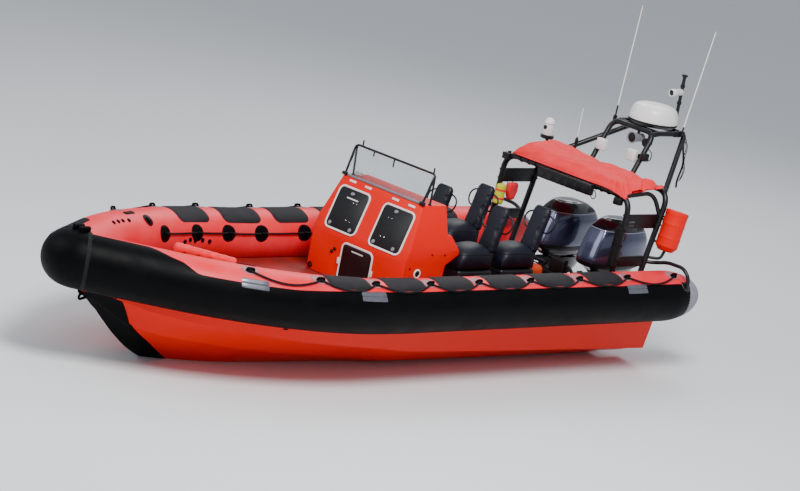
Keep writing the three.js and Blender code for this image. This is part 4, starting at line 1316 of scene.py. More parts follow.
# Long folds along the cover, drag lines from its lashings, and the port end gathered and hanging open
def creaseCover(cover):
    for vertex in cover.data.vertices:
        x, y, z = vertex.co
        base = coverLook["under"] + coverLook["lean"] * (coverLook["front"] - x)
        over = max(0, min(1, (z - base) / 0.05))
        t = (x - coverLook["middle"]) / coverLook["halfWide"]
        fold = 0.006 * math.sin(9 * y + 2.2 * t) + 0.004 * math.sin(23 * y - 4 * t + 1.3)
        fold -= 0.013 * pinch(1.3 * t + 0.9 * y + 0.15 * math.sin(7 * y), 0.14)
        fold -= 0.012 * pinch(2.6 * y - 0.7 * t, 0.07) * (0.5 - 0.5 * t)
        gather = max(0, (y - 0.5) / 0.34)
        fold += 0.016 * gather * math.sin(5.5 * t + 16 * y)
        fold -= 0.05 * gather * pinch(4.2 * y - 1.5 * t, 0.14)
        fold -= 0.03 * gather * max(0, 1 - (t / 0.85) ** 2)
        hang = gather**2 * max(0, min(1, (t + 0.2) / 0.9))
        vertex.co.z = max(base + 0.006 * over, z + over * (fold - 0.006)) - 0.05 * hang * (1 - 0.4 * over)
        vertex.co.y += 0.012 * gather * math.sin(11 * t) * over
        mouth = max(0, 1 - (t / 0.8) ** 2) * max(0, 1 - abs(z - base - 0.025) / 0.025)
        if y > 0.815:
            vertex.co.y -= 0.07 * mouth**0.5


makeCover()
print("righting bag made")

# Canister on the port aft leg
canisterLook = {
    "foot": (-3.344, 1.0, 1.189),
    "top": (-3.423, 1.0, 1.604),
    "radius": 0.1185,
    "hoops": (0.33, 0.66),
    "hoopProud": 0.003,
}


def makeCanister():
    foot, top = Vector(canisterLook["foot"]), Vector(canisterLook["top"])
    long, r = (top - foot).length, canisterLook["radius"]
    wall = r - canisterLook["hoopProud"]
    profile = [(0, 0), (0.6 * r, 0), (0.66 * r, 0.004), (0.97 * r, 0.05), (wall, 0.06)]
    for share in canisterLook["hoops"]:
        z = share * long
        profile += [(wall, z - 0.012), (r, z - 0.009), (r, z + 0.009), (wall, z + 0.012)]
    profile += [(wall, long - 0.05), (r, long - 0.045), (r, long - 0.008), (r - 0.008, long), (0, long)]
    can = bevelled(lathePiece("canister", profile, foot, top - foot, 64), 0.0015)
    finishPiece(can, "gelcoatRed", slot="moulding_gelcoat", replaces=["container"])


makeCanister()
print("canister made")

# Console: the side outline in metres, x and z
consoleLook = {
    "outline": [
        (-0.016, deckTop), (-0.566, deckTop), (-0.568, 0.89), (-0.574, 0.985), (-0.728, 1.083),
        (-0.735, 1.112),
        (-0.72, 1.147), (-0.62, 1.275), (-0.566, 1.28), (-0.532, roofTop), (-0.199, roofTop),
        (-0.016, 1.017),
    ],
    "inside": [
        (-0.03, 0.6), (-0.553, 0.6), (-0.558, 0.992), (-0.712, 1.09), (-0.716, 1.114), (-0.703, 1.14),
        (-0.612, 1.262), (-0.553, 1.268), (-0.52, 1.547), (-0.208, 1.547), (-0.03, 1.019),
    ],
    "half": 0.654,
    "topHalf": 0.561,
    "wall": 0.02,
    "leanFrom": 1.15,
    "edge": 0.02,
    "panelFoot": (-0.016, 1.017),
    "panelTop": (-0.199, roofTop),
    # y, height of the middle along the panel, lid height, whether on the raked panel
    "hatches": {
        "starboard": (-0.309, 0.262, 0.41, True),
        "port": (0.32, 0.256, 0.41, True),
        "lower": (0.012, 0.205, 0.35, False),
    },
    "hatchWide": 0.405,
    "corner": 0.045,
    # metres in from the hatch's outline and out from the panel
    "rim": [(0, 0.0005), (0, 0.006), (0.003, 0.009), (0.016, 0.009), (0.0195, 0.006), (0.0195, -0.002)],
    "lid": [(0, 0.0006), (0, 0.0055), (0.0015, 0.0075), (0.004, 0.0084)],
    # on each lid, as y and height up the panel: the long knob, the latches and the screws
    "lidParts": {
        "starboard": (
            [(-0.325, 0.425)], [(-0.46, 0.092), (-0.173, 0.088)],
            [(-0.273, 0.162), (-0.227, 0.162), (-0.273, 0.347), (-0.227, 0.347)],
        ),
        "port": (
            [(0.296, 0.425)], [(0.17, 0.081), (0.445, 0.081)],
            [(0.227, 0.155), (0.277, 0.155), (0.227, 0.347), (0.27, 0.347)],
        ),
        "lower": ([], [], []),
    },
    "hinges": [(-0.403, 0.541), (-0.18, 0.538), (0.211, 0.532), (0.438, 0.53)],
    "lowLatches": [(-0.222, 0.2), (0.246, 0.2)],
    # on the sides, as x and z
    "sideY": 0.6535,
    "sidePort": (-0.204, 0.914),
    "sideBolts": [(-0.096, 0.964), (-0.364, 1.098), (-0.537, 1.092)],
    # on the front, as y and z
    "frontX": -0.0165,
    "sockets": [(-0.302, 0.884), (-0.338, 0.851)],
    "gland": (-0.6, 0.64),
}
panelLean = math.atan2(
    consoleLook["panelFoot"][0] - consoleLook["panelTop"][0],
    consoleLook["panelTop"][1] - consoleLook["panelFoot"][1],
)


def cutAway(piece, tools):
    for tool in tools:
        applied(piece, "BOOLEAN", object=tool)
        bpy.data.objects.remove(tool)
    return piece


# A place on the front of the console: across, up the panel and out from it
def onPanel(raked, y, up, out=0.0):
    if not raked:
        return Vector((consoleLook["panelFoot"][0] + out, y, deckTop + up))
    footX, footZ = consoleLook["panelFoot"]
    c, s = math.cos(panelLean), math.sin(panelLean)
    return Vector((footX - s * up + c * out, y, footZ + c * up + s * out))


# A piece that was made flat, stood on the front of the console
def standOnPanel(piece, raked, y, up, out=0.0):
    facing = (math.cos(panelLean), 0, math.sin(panelLean)) if raked else (1, 0, 0)
    piece.data.transform(Matrix.Translation(onPanel(raked, y, up, out)) @ aimed(facing))
    return piece


def roundedLoop(wide, high, corner, shrink=0.0):
    hx, hy = wide / 2 - shrink, high / 2 - shrink
    r = max(corner - shrink, 0.002)
    loop, steps = [], 8
    for k, (sx, sy) in enumerate(((1, 1), (-1, 1), (-1, -1), (1, -1))):
        for i in range(steps + 1):
            angle = math.radians(90 * k + 90 * i / steps)
            loop.append((sx * (hx - r) + r * math.cos(angle), sy * (hy - r) + r * math.sin(angle)))
    return loop


# A rounded plate or ring at a hatch, by its profile [(in from the rim, out from the panel), ...]
def hatchPlate(name, hatch, grow, profile, closed):
    y, middle, high, raked = consoleLook["hatches"][hatch]
    wide, corner = consoleLook["hatchWide"] + 2 * grow, consoleLook["corner"] + grow
    rings = []
    for shrink, out in profile:
        loop = roundedLoop(wide, high + 2 * grow, corner, shrink)
        rings.append([onPanel(raked, y + a, middle + b, out) for a, b in loop])
    plate = lofted(name, rings)
    return fillHoles(plate) if closed else plate


def makeConsole():
    look = consoleLook
    half, inner = look["half"], look["topHalf"] - look["wall"]
    shell = outlinePiece("consoleShell", look["outline"], "y", -half, half, 0)
    drop, pull = look["leanFrom"] - roofTop, half - look["topHalf"]
    for side in (1, -1):
        keepBeyond(shell, (0, side * half, look["leanFrom"]), (0, side * drop, -pull))
    bevelled(shell, look["edge"], 4, 20)
    room = outlinePiece("room", look["inside"], "y", -inner, inner, 0)
    through = [(0, -0.045), (0, 0.045)]
    holes = [hatchPlate("hole", hatch, -0.01, through, True) for hatch in look["hatches"]]
    cutAway(shell, [room, *holes])
    cleanUp(shell, 0.00005)
    finishPiece(shell, "gelcoatRed", slot="moulding_gelcoat", replaces=["console"], angle=30)
    rims = [hatchPlate("rim", hatch, 0.02, look["rim"], False) for hatch in look["hatches"]]
    finishJoined("hatchFrames", rims, "absWhite", slot="white_plastic", angle=40)


def knob(raked, y, up, out, radius, tall, stretch=1.0):
    profile = [(0, 0), (radius, 0), (radius, tall * 0.6), (radius * 0.8, tall * 0.93), (0, tall)]
    piece = lathePiece("knob", profile, (0, 0, 0), steps=24)
    piece.data.transform(Matrix.Diagonal((1, stretch, 1, 1)))
    return standOnPanel(piece, raked, y, up, out)


# A bare label strip on a lid
def hatchLabel(hatch, raked):
    y, middle = consoleLook["hatches"][hatch][:2]
    up = middle + (0.115 if raked else 0.132)
    left, right, half = y - 0.075, y + 0.085, 0.006
    corners = [(left, up - half), (right, up - half), (right, up + half), (left, up + half)]
    rings = [[onPanel(raked, a, b, out) for a, b in corners] for out in (0.0082, 0.009)]
    return fillHoles(lofted("lidLabel" + hatch.title(), rings))


def makeLids():
    for hatch, (knobs, latches, screws) in consoleLook["lidParts"].items():
        raked = consoleLook["hatches"][hatch][3]
        name, moving = hatch.title(), "lid_" + hatch
        lid = hatchPlate("lidPanel" + name, hatch, 0, consoleLook["lid"], True)
        finishPiece(lid, "acrylicDark", moving, "hatch_acrylic", ["hatch_" + hatch])
        small = [knob(raked, y, up, 0.008, 0.017, 0.014, 1.5) for y, up in knobs]
        small += [knob(raked, y, up, 0.008, 0.02, 0.01) for y, up in latches]
        if small:
            finishJoined("lidLatches" + name, small, "absGrey", moving, "grey_plastic")
        if hatch != "port":
            finishPiece(hatchLabel(hatch, raked), "absWhite", moving, "white_plastic")
        heads = [knob(raked, y, up, 0.0083, 0.0065, 0.004) for y, up in screws]
        if heads:
            finishJoined("lidScrews" + name, heads, "stainless", moving, "grey_plastic")


def makeConsoleTrim():
    look = consoleLook
    portX, portZ = look["sidePort"]
    white = []
    for y, up in look["hinges"]:
        hinge = blockPiece("hinge", (-0.046, -0.011, 0), (0.046, 0.011, 0.006), 0.003)
        hinge.data.transform(Matrix.Rotation(math.pi / 2, 4, "Z"))
        white.append(standOnPanel(hinge, True, y, up))
    for y, up in look["lowLatches"]:
        low = onPanel(False, y - 0.012, up - 0.03)
        white.append(blockPiece("lowLatch", low, low + Vector((0.014, 0.024, 0.06))))
    for side in (1, -1):
        white.append(turnedPart("portRing", (portX, side * look["sideY"], portZ), (0, side, 0)))
    white.append(turnedPart("satDome", (-0.36, -0.51, roofTop)))
    finishJoined("consoleTrim", white, "absWhite", slot="white_plastic", angle=40)
    dark = []
    for side in (1, -1):
        y = side * look["sideY"]
        dark.append(turnedPart("portLid", (portX, y, portZ), (0, side, 0)))
        dark += [turnedPart("sideBolt", (x, y, z), (0, side, 0)) for x, z in look["sideBolts"]]
    dark += [turnedPart("socket", (look["frontX"], y, z), (1, 0, 0)) for y, z in look["sockets"]]
    dark.append(turnedPart("gland", (look["frontX"], *look["gland"]), (1, 0, 0)))
    finishJoined("consolePlugs", dark, "absBlack", slot="black_plastic", angle=40)


makeConsole()
makeLids()
makeConsoleTrim()
print("console made")

# Windscreen on the console's top edge
screenLook = {
    "baseX": -0.206,
    "topX": -0.298,
    "topZ": 1.862,
    "baseHalf": 0.545,
    "topHalf": 0.562,
    "pipe": 0.0118,
    "pane": (1.078, 0.29, 0.035),
    # in from the rim of the pane, out from its middle
    "paneEdge": [(0.0015, -0.003), (0, -0.0018), (0, 0.0018), (0.0015, 0.003)],
    "seat": roofTop + 0.0005,
    # y, low end and high end of the pegs along the top
    "pegs": [(-0.471, 1.87, 1.925), (-0.3, 1.808, 1.85), (-0.015, 1.778, 1.85), (0.53, 1.87, 1.92)],
    "screws": 9,
}


def makeWindscreen():
    look = screenLook
    lean = math.atan2(look["baseX"] - look["topX"], look["topZ"] - roofTop)
    place = Matrix.Translation((look["baseX"], 0, roofTop)) @ Matrix.Rotation(-lean, 4, "Y")
    rings = []
    for shrink, out in look["paneEdge"]:
        loop = roundedLoop(*look["pane"], shrink)
        rings.append([place @ Vector((out, a, b + 0.153)) for a, b in loop])
    glass = fillHoles(lofted("windscreenPanel", rings))
    finishPiece(glass, "polycarbonate", slot="clear_screen", replaces=["windscreen"], angle=20)
    foot, seat = -0.2015, look["seat"]
    corners = [
        (foot, -look["baseHalf"], seat), (look["topX"], -look["topHalf"], look["topZ"]),
        (look["topX"], look["topHalf"], look["topZ"]), (foot, look["baseHalf"], seat),
    ]
    parts = [bentPipe("screenPipe", corners, look["pipe"], 0.05, 5, 10)]
    for side in (1, -1):
        strut = [(-0.303, side * 0.551, 1.845), (-0.315, side * 0.544, seat)]
        parts.append(bentPipe("strut", strut, 0.0105, 0.02, 3))
        parts.append(turnedPart("strutFoot", (-0.312, side * 0.544, roofTop)))
        y = side * 0.549
        parts.append(blockPiece("cornerClip", (-0.222, y - 0.03, seat), (-0.186, y + 0.03, 1.592), 0.007))
    for y, low, high in look["pegs"]:
        peg = [(0, 0), (0.008, 0), (0.008, high - low), (0, high - low)]
        parts.append(lathePiece("peg", peg, (look["topX"], y, low), steps=12))
    frameParts = joinPieces("windscreenFrame", parts)
    finishPiece(frameParts, "powderCoat", slot="painted_tube", replaces=["windscreen_frame"], angle=50)
    strip = [blockPiece("sealStrip", (-0.212, -0.51, seat), (-0.1985, 0.51, 1.582), 0.003)]
    for i in range(look["screws"]):
        strip.append(turnedPart("screwHead", (-0.199, -0.46 + 0.115 * i, 1.571), (1, 0, 0)))
    finishJoined("screenStrip", strip, "absGrey", slot="grey_plastic")


makeWindscreen()
print("windscreen made")

# Helm: the wheel is made flat and tilted back to the helmsman
helmLook = {
    "place": (-0.69, -0.4, 1.345),
    "tilt": 25,
    "rim": 0.165,
    "grip": 0.0138,
    "ridges": 36,
    "ridgeDeep": 0.0018,
    "spokes": (90, 210, 330),
    # distance from the hub, height over the rim's plane
    "spoke": [(0.028, -0.008), (0.09, -0.008), (0.16, 0)],
}


def makeHelm():
    look = helmLook
    tilt = math.radians(look["tilt"])
    axis = Vector((math.cos(tilt), 0, -math.sin(tilt)))
    centre = Vector(look["place"])
    place = Matrix.Translation(centre) @ Matrix.Rotation(tilt - math.pi / 2, 4, "Y")
    bpy.ops.mesh.primitive_torus_add(
        major_radius=look["rim"], minor_radius=look["grip"], major_segments=72, minor_segments=16
    )
    rim = bpy.context.object
    # finger grips under the rim
    for vertex in rim.data.vertices:
        angle = math.atan2(vertex.co.y, vertex.co.x)
        if vertex.co.z > 0:
            vertex.co.z -= look["ridgeDeep"] * (0.5 + 0.5 * math.cos(look["ridges"] * angle))
    grip = joinPieces("helmRim", [rim, turnedPart("helmHub", (0, 0, 0))])
    grip.data.transform(place)
    finishPiece(grip, "absBlack", "helm", "black_plastic", ["helm_wheel"], 40)
    spokes = []
    for angle in look["spokes"]:
        c, s = math.cos(math.radians(angle)), math.sin(math.radians(angle))
        route = [(reach * c, reach * s, z) for reach, z in look["spoke"]]
        spokes.append(bentPipe("spoke", route, 0.0078, 0.05, 3))
    spokes = joinPieces("helmSpokes", spokes)
    spokes.data.transform(place)
    finishPiece(spokes, "stainless", "helm", "black_plastic", angle=50)
    finishPiece(turnedPart("helmColumn", centre, axis), "absBlack", slot="black_plastic")


# What the helmsman sees: displays, dials, switches and the throttle, all guessed from the type of boat
dashLook = {
    "place": (-0.549, 0, 1.42),
    "run": (0.034, 0.279),
    # y, width, height
    "displays": [(0.27, 0.3, 0.19), (-0.06, 0.26, 0.17)],
    "bezel": 0.016,
    "dials": (-0.34, -0.46),
    "switches": 6,
    # y at the foot and at the grip
    "levers": [(-0.155, -0.135), (-0.045, -0.065)],
}


def makeDash():
    look = dashLook
    lean, bezel = math.atan2(*look["run"]), look["bezel"]
    place = Matrix.Translation(look["place"]) @ Matrix.Rotation(math.pi / 2 + lean, 4, "Y")
    flipped = place @ Matrix.Rotation(math.pi, 4, "Y") @ Matrix.Translation((0, 0, 0.0005))
    dark, glossy, bright = [], [], []
    for y, wide, high in look["displays"]:
        x, left, right = high / 2, y - wide / 2, y + wide / 2
        dark.append(blockPiece("display", (-x, left, -bezel), (x, right, -0.0005), 0.006))
        dark[-1].data.transform(flipped)
        low, top = (-x + bezel, left + bezel, 0.0155), (x - bezel, right - bezel, 0.018)
        glossy.append(blockPiece("glass", low, top, 0.001))
        glossy[-1].data.transform(place)
    flat = [turnedPart("dial", (0.04, y, 0)) for y in look["dials"]]
    for i in range(look["switches"]):
        flat.append(
            blockPiece("switch", (0.1, -0.15 + 0.05 * i, 0), (0.122, -0.122 + 0.05 * i, 0.009), 0.003)
        )
    for piece in flat:
        piece.data.transform(place)
    dark += flat
    dark.append(blockPiece("throttleBox", (-0.7, -0.16, 1.16), (-0.6, -0.04, 1.25), 0.012))
    for foot, grip in look["levers"]:
        route = [(-0.65, foot, 1.22), (-0.655, foot, 1.29), (-0.66, grip, 1.34)]
        bright.append(bentPipe("lever", route, 0.007, 0.02, 3))
        dark.append(turnedPart("leverGrip", (-0.66, grip, 1.335)))
    finishJoined("dashFittings", dark, "absBlack", slot="black_plastic", angle=40)
    finishJoined("dashGlass", glossy, "acrylicDark", slot="hatch_acrylic")
    finishJoined("throttleLevers", bright, "stainless", slot="black_plastic", angle=50)


makeHelm()
makeDash()
print("helm made")

# Radar frame and what stands on it
radarLook = {
    "half": 0.29,
    "z": 2.23,
    "pipe": 0.0277,
    "footZ": 1.758,
    "bearers": (-3.76, -4.08),
    "dome": (-3.94, 2.255),
    "mast": -4.3,
    "clamps": (2.3, 2.48, 2.66),
    "cameraZ": 2.611,
    "cameraAxis": (165, 0, -11),
    # x and y of the foot, x and z of the tip, length of the ferrule
    "whips": {"starboard": (-3.72, -0.326, -3.8, 3.45, 0.11), "port": (-4.05, 0.326, -4.235, 3.345, 0.05)},
}


def makeRadarFrame():
    look = radarLook
    half, z, pipe, footZ = look["half"], look["z"], look["pipe"], look["footZ"]
    front = [(-3.42, half, footZ), (-3.66, half, z), (-3.66, -half, z), (-3.42, -half, footZ)]
    parts = [bentPipe("frontLoop", front, pipe, 0.11, 6, 10)]
    for side in (1, -1):
        y = side * half
        rail = [
            (-3.648, side * 0.263, z - 0.024), (-3.73, y, z), (-4.14, y, z), (-3.42, side * 0.78, 1.744),
        ]
        parts.append(bentPipe("rail", rail, pipe, 0.08, 6, 10))
        parts.append(turnedPart("radarFoot", (-3.424, y, 1.752), (-0.45, 0, 0.89)))
    parts.append(bentPipe("crossRod", [(-4.12, half, z), (-4.12, -half, z)], pipe, 0.02, 6))
    parts.append(bentPipe("mastArm", [(-4.14, 0, z), (look["mast"], 0, z)], 0.0157, 0.02, 5))
    for x in look["bearers"]:
        parts.append(bentPipe("domeBearer", [(x, half, z + 0.004), (x, -half, z + 0.004)], 0.016, 0.02, 4))
    frameParts = joinPieces("radarFrame", parts)
    finishPiece(frameParts, "powderCoat", slot="painted_tube", replaces=["radar_frame"], angle=50)


def makeRadar():
    x, z = radarLook["dome"]
    dome, base = turnedPart("radarDome", (x, 0, z)), turnedPart("radarBase", (x, 0, z))
    finishPiece(dome, "absWhite", slot="white_plastic", replaces=["radar_dome"], angle=25)
    finishPiece(base, "absBlack", slot="black_plastic")


def makeMast():
    look = radarLook
    x = look["mast"]
    parts = [turnedPart("mastPost", (x, 0, look["z"]))]
    parts.append(blockPiece("cameraArm", (x - 0.006, -0.02, 2.575), (x + 0.06, 0.02, 2.59), 0.003))
    parts += [turnedPart("mastClamp", (x, 0, z)) for z in look["clamps"]]
    finishJoined("mastPost", parts, "powderCoat", slot="painted_tube", replaces=["mast"])
    foot = (x + 0.002, 0, look["cameraZ"])
    finishPiece(turnedPart("mastCamera", foot, look["cameraAxis"]), "absWhite", slot="white_plastic")
    finishPiece(turnedPart("cameraLens", foot, look["cameraAxis"]), "acrylicDark", slot="black_plastic")


def makeWhips():
    for name, (x, y, tipX, tipZ, low) in radarLook["whips"].items():
        foot, tip = Vector((x, y, 2.265)), Vector((tipX, y + math.copysign(0.01, y), tipZ))
        long = (tip - foot).length
        shaft = [(0, low), (0.0075, low), (0.0065, long * 0.4), (0.0048, long * 0.98), (0, long)]
        whip = lathePiece("whip" + name.title(), shaft, foot, tip - foot, 16)
        finishPiece(whip, "absWhite", slot="white_plastic", replaces=["aerial_" + name])
        dark = [blockPiece("mount", (x - 0.019, y - 0.0135, 2.216), (x + 0.019, y + 0.0135, 2.27))]
        ferrule = [(0, 0), (0.0088, 0), (0.0088, low - 0.006), (0.007, low + 0.004), (0, low + 0.004)]
        dark.append(lathePiece("ferrule", ferrule, foot, tip - foot, 16))
        finishJoined("whipFoot" + name.title(), dark, "absBlack", slot="black_plastic")


# Thermal camera on a bent stalk
thermalLook = {"place": (-3.37, -0.89, 1.872), "stalkFoot": (-3.37, -0.838, 1.735)}


def makeThermal():
    x, y, z = place = thermalLook["place"]
    camera = turnedPart("thermalCamera", place)
    finishPiece(camera, "absWhite", slot="white_plastic", replaces=["thermal_camera"], angle=30)
    parts = [
        turnedPart("thermalWindow", (x + 0.0545, y, z + 0.115), (1, 0, 0.1)),
        bandPiece("thermalSeam", 0.0572, 0.058, 0.006, (x, y, z + 0.148), steps=48),
        turnedPart("thermalFlange", place),
        bentPipe("thermalStalk", [thermalLook["stalkFoot"], (x, y, z + 0.001)], 0.0165, 0.02, 5),
        turnedPart("thermalPlate", (x, y, z - 0.008)),
    ]
    finishJoined("thermalMount", parts, "absBlack", slot="black_plastic", angle=40)


# Loudhailer and a second lamp beside it
hailerLook = {"horn": (-3.56, 0.08, 2.135), "face": (-3.576, 0.08, 2.135), "lamp": (-3.602, 0.235, 2.12)}


def makeHailer():
    horn = turnedPart("hailerHorn", hailerLook["horn"], (-1, 0, 0))
    finishPiece(horn, "absGrey", slot="grey_plastic", replaces=["loudhailer"], angle=30)
    x, y, z = hailerLook["lamp"]
    dark = [
        turnedPart("hailerFace", hailerLook["face"], (1, 0, 0)),
        blockPiece("hailerClamp", (-3.674, 0.069, 2.17), (-3.646, 0.091, 2.2315), 0.003),
        turnedPart("lampFace", (x + 0.002, y, z), (1, 0, 0)),
    ]
    finishJoined("hailerFittings", dark, "absBlack", slot="black_plastic")
    lamp = turnedPart("sideLamp", (x, y, z), (-1, 0, 0))
    neck = blockPiece("lampNeck", (-3.662, y - 0.01, 2.15), (-3.644, y + 0.01, 2.21), 0.003)
    finishJoined("sideLamp", [lamp, neck], "castGrey", slot="grey_plastic")


# Work lights on the front legs, a short whip, and a strap and lanyards that hang from the port rail
workLook = {
    "lights": (-0.215, 0.215),
    "whip": (-3.37, -0.476, 1.93),
    "lead": [
        (-3.5, 0.385, 1.99), (-3.49, 0.44, 1.97), (-3.49, 0.46, 2.06), (-3.51, 0.38, 2.09),
        (-3.565, 0.318, 2.05),
    ],
    "lanyards": (0.03, 0.05),
    "lanyard": [(-4.09, 0.3, 2.215), (-4.14, 0.33, 2.1), (-4.11, 0.335, 1.97), (-4.17, 0.33, 1.85)],
    "lanyardEnd": (-4.14, 0.32, 1.7),
    "strap": {"x": -4.115, "y": 0.325, "top": 2.2, "long": 0.54, "wide": 0.024, "thick": 0.003},
}


def makeStrap():
    look = workLook["strap"]

    def place(u, v):
        x = look["x"] - 0.055 * math.sin(1.5 * u) + 0.012 * math.sin(9 * u)
        y = look["y"] + look["wide"] * (v - 0.5) + 0.02 * u * math.sin(5 * u)
        return Vector((x, y, look["top"] - look["long"] * u))

    return applied(shapedGrid("strap", 24, 3, place), "SOLIDIFY", thickness=look["thick"])


def makeWorkLights():
    look = workLook
    white = []
    for y in look["lights"]:
        white.append(blockPiece("workLight", (-3.5, y - 0.055, 1.925), (-3.44, y + 0.055, 2.045), 0.01, 3))
    white.append(turnedPart("shortWhip", look["whip"]))
    finishJoined("workLights", white, "absWhite", slot="white_plastic")
    dark = [
        blockPiece("arm", (-3.545, -0.275, 1.965), (-3.495, -0.235, 2.005), 0.006),
        blockPiece("arm", (-3.545, 0.235, 1.965), (-3.495, 0.275, 2.005), 0.006),
        turnedPart("whipBase", look["whip"]),
        blockPiece("sounder", (-3.545, 0.322, 1.955), (-3.465, 0.385, 2.035), 0.01, 3),
        bentPipe("lead", look["lead"], 0.005, 0.04, 3),
    ]
    strap = makeStrap()
    endX, endY, endZ = look["lanyardEnd"]
    for shift in look["lanyards"]:
        route = [(x - shift, y, z) for x, y, z in look["lanyard"]] + [(endX - shift, endY, endZ + shift)]
        dark.append(bentPipe("lanyard", route, 0.0045, 0.05, 2))
    for x, z in ((-4.05, 2.23), (-3.994, 2.23)):
        dark.append(bandPiece("railCollar", 0.0277, 0.034, 0.025, (x, 0.29, z), (1, 0, 0), 24))
    finishJoined("workLightParts", dark, "absBlack", slot="black_plastic", angle=40)
    finishPiece(strap, "nylonBlack", slot="black_fabric")


makeRadarFrame()
makeRadar()
makeMast()
makeWhips()
makeThermal()
makeHailer()
makeWorkLights()
print("radar gear made")

# Side panels, lights and bags on the roll frame
panelLook = {
    "low": 1.396,
    "high": 1.544,
    "half": 0.0065,
    "slots": (1.416, 1.453),
    "clips": (1.43, 1.52),
    # stowage rail low between the legs
    "rail": (1.0, 1.11),
}


def makeSidePanels():
    look = panelLook
    skin = frameLook["skin"]
    reach = frameLook["pipe"] + 0.0015
    for side, name in bothSides:
        y = side * frameLook["half"]
        low, high = look["low"], look["high"]
        outline = [
            (legX("aft", low) + reach, low), (legX("front", low) - reach, low),
            (legX("front", high) - reach, high), (legX("aft", high) + reach, high),
        ]
        panel = outlinePiece("sidePanel", outline, "y", y - look["half"], y + look["half"], 0.003)
        if name == "port":
            slots = []
            for z in look["slots"]:
                slots.append(blockPiece("slot", (-2.945, y - 0.02, z), (-2.845, y + 0.02, z + 0.018)))
            cutAway(panel, slots)
        parts = [panel]
        for z in look["clips"]:
            for hoop in ("front", "aft"):
                along = (legX(hoop, z + 0.1) - legX(hoop, z), 0, 0.1)
                parts.append(bandPiece("clip", skin, 0.036, 0.019, (legX(hoop, z), y, z), along))
        low, high = look["rail"]
        start, end = legX("aft", low) + 0.034, legX("front", low) - 0.034
        parts.append(blockPiece("lowRail", (start, y - 0.02, low), (end, y + 0.02, high), 0.012, 3))
        whole = joinPieces("sidePanel" + name.title(), parts)
        finishPiece(whole, "absBlack", slot="black_plastic", replaces=["side_panel_" + name], angle=40)


lightLook = {
    "low": (-2.7692, -0.33, 1.6055),
    "high": (-2.702, 0.412, 1.7175),
    "fins": (-0.2, -0.06, 0.08, 0.22, 0.34),
    "clamps": (-0.31, -0.05, 0.2, 0.38),
    "loop": [
        (-2.74, 0.405, 1.66), (-2.74, 0.45, 1.67), (-2.735, 0.48, 1.61), (-2.735, 0.44, 1.575),
        (-2.74, 0.395, 1.612),
    ],
    "lenses": 6,
    "floodlights": [(-2.758, 0.76, 1.646), (-2.77, -0.844, 1.686)],
}


def makeLightBox():
    look = lightLook
    parts = [blockPiece("lightBox", look["low"], look["high"], 0.012, 3)]
    parts.append(bentPipe("loop", look["loop"], 0.005, 0.03, 3))
    for y in look["fins"]:
        parts.append(blockPiece("fin", (-2.768, y - 0.004, 1.6), (-2.72, y + 0.004, 1.7232), 0.002))
    for y in look["clamps"]:
        parts.append(bandPiece("clamp", frameLook["skin"], 0.037, 0.031, (-2.8, y, 1.705), (0, 1, 0)))
    box = joinPieces("lightBox", parts)
    finishPiece(box, "absBlack", slot="black_plastic", replaces=["light_box"], angle=40)
    lenses = []
    for i in range(look["lenses"]):
        lenses.append(turnedPart("lens", (-2.7045, -0.26 + 0.12 * i, 1.662), (1, 0, 0)))
    finishJoined("lightLenses", lenses, "acrylicDark", slot="black_plastic")
    lamps = []
    for x, y, z in look["floodlights"]:
        low, high = (x - 0.03, y - 0.045, z - 0.035), (x + 0.035, y + 0.045, z + 0.035)
        lamps.append(blockPiece("floodlight", low, high, 0.01, 3))
        low, high = (x - 0.045, y - 0.012, z + 0.02), (x - 0.01, y + 0.012, z + 0.05)
        lamps.append(blockPiece("bracket", low, high, 0.003))
    finishJoined("floodlights", lamps, "absBlack", slot="black_plastic")


# Lacing that ties the cover down to the front hoop
def makeLacing():
    x, z = frameLook["front"][:2]
    turns = []
    for y in (-0.66, -0.55, -0.44, 0.48, 0.58, 0.68):
        ring = []
        for i in range(20):
            angle = 2 * math.pi * i / 20
            c, s = 0.0335 * math.cos(angle), 0.0335 * math.sin(angle)
            ring.append(Vector((x + c, y + 0.01 * math.sin(angle / 2), z + s)))
        turns.append(pipeAlong("turn", ring, 0.004, 2, True))
    finishJoined("coverLacing", turns, "nylonBlack", slot="black_fabric", angle=50)


def softBlock(name, low, high, edge, voxel, most, shift=None):
    piece = blockPiece(name, low, high, edge, 4)
    if shift:
        for vertex in piece.data.vertices:
            vertex.co.x += shift(vertex.co.z)
    middle = (low[2] + high[2]) / 2
    swell(piece, voxel, 2, most, lambda co: abs(co.z - middle) < 0.01)
    return subdivided(piece)


def makePouch():
    low, high = (0.031, 0.84, 1.003), (0.078, 0.92, 1.417)
    pouch = softBlock("legPouch", low, high, 0.014, 0.006, 0.004, lambda z: legX("front", z))
    finishPiece(pouch, "nylonBlack", slot="black_fabric", replaces=["leg_pouch"], angle=60)
    straps = []
    for z in (1.05, 1.21, 1.37):
        foot = (legX("front", z), frameLook["half"], z)
        straps.append(bandPiece("strap", frameLook["skin"], 0.034, 0.025, foot))
    finishJoined("pouchStraps", straps, "nylonBlack", slot="black_fabric")


# The yellow bag stands on the starboard front leg, the red one hangs inboard of the side panel
bagLook = {
    "foot": (-2.724, -0.807, 1.175),
    "top": (-2.741, -0.807, 1.405),
    "profile": [
        (0, 0.002), (0.03, 0.002), (0.046, 0.008), (0.053, 0.02), (0.054, 0.05), (0.053, 0.15),
        (0.052, 0.195),
        (0.043, 0.21), (0.02, 0.222),
    ],
    "bands": (0.24, 0.62),
    "redLow": (-3.0, -0.865, 1.215),
    "redHigh": (-2.85, -0.795, 1.4),
    "hangers": (-2.88, -2.96),
}


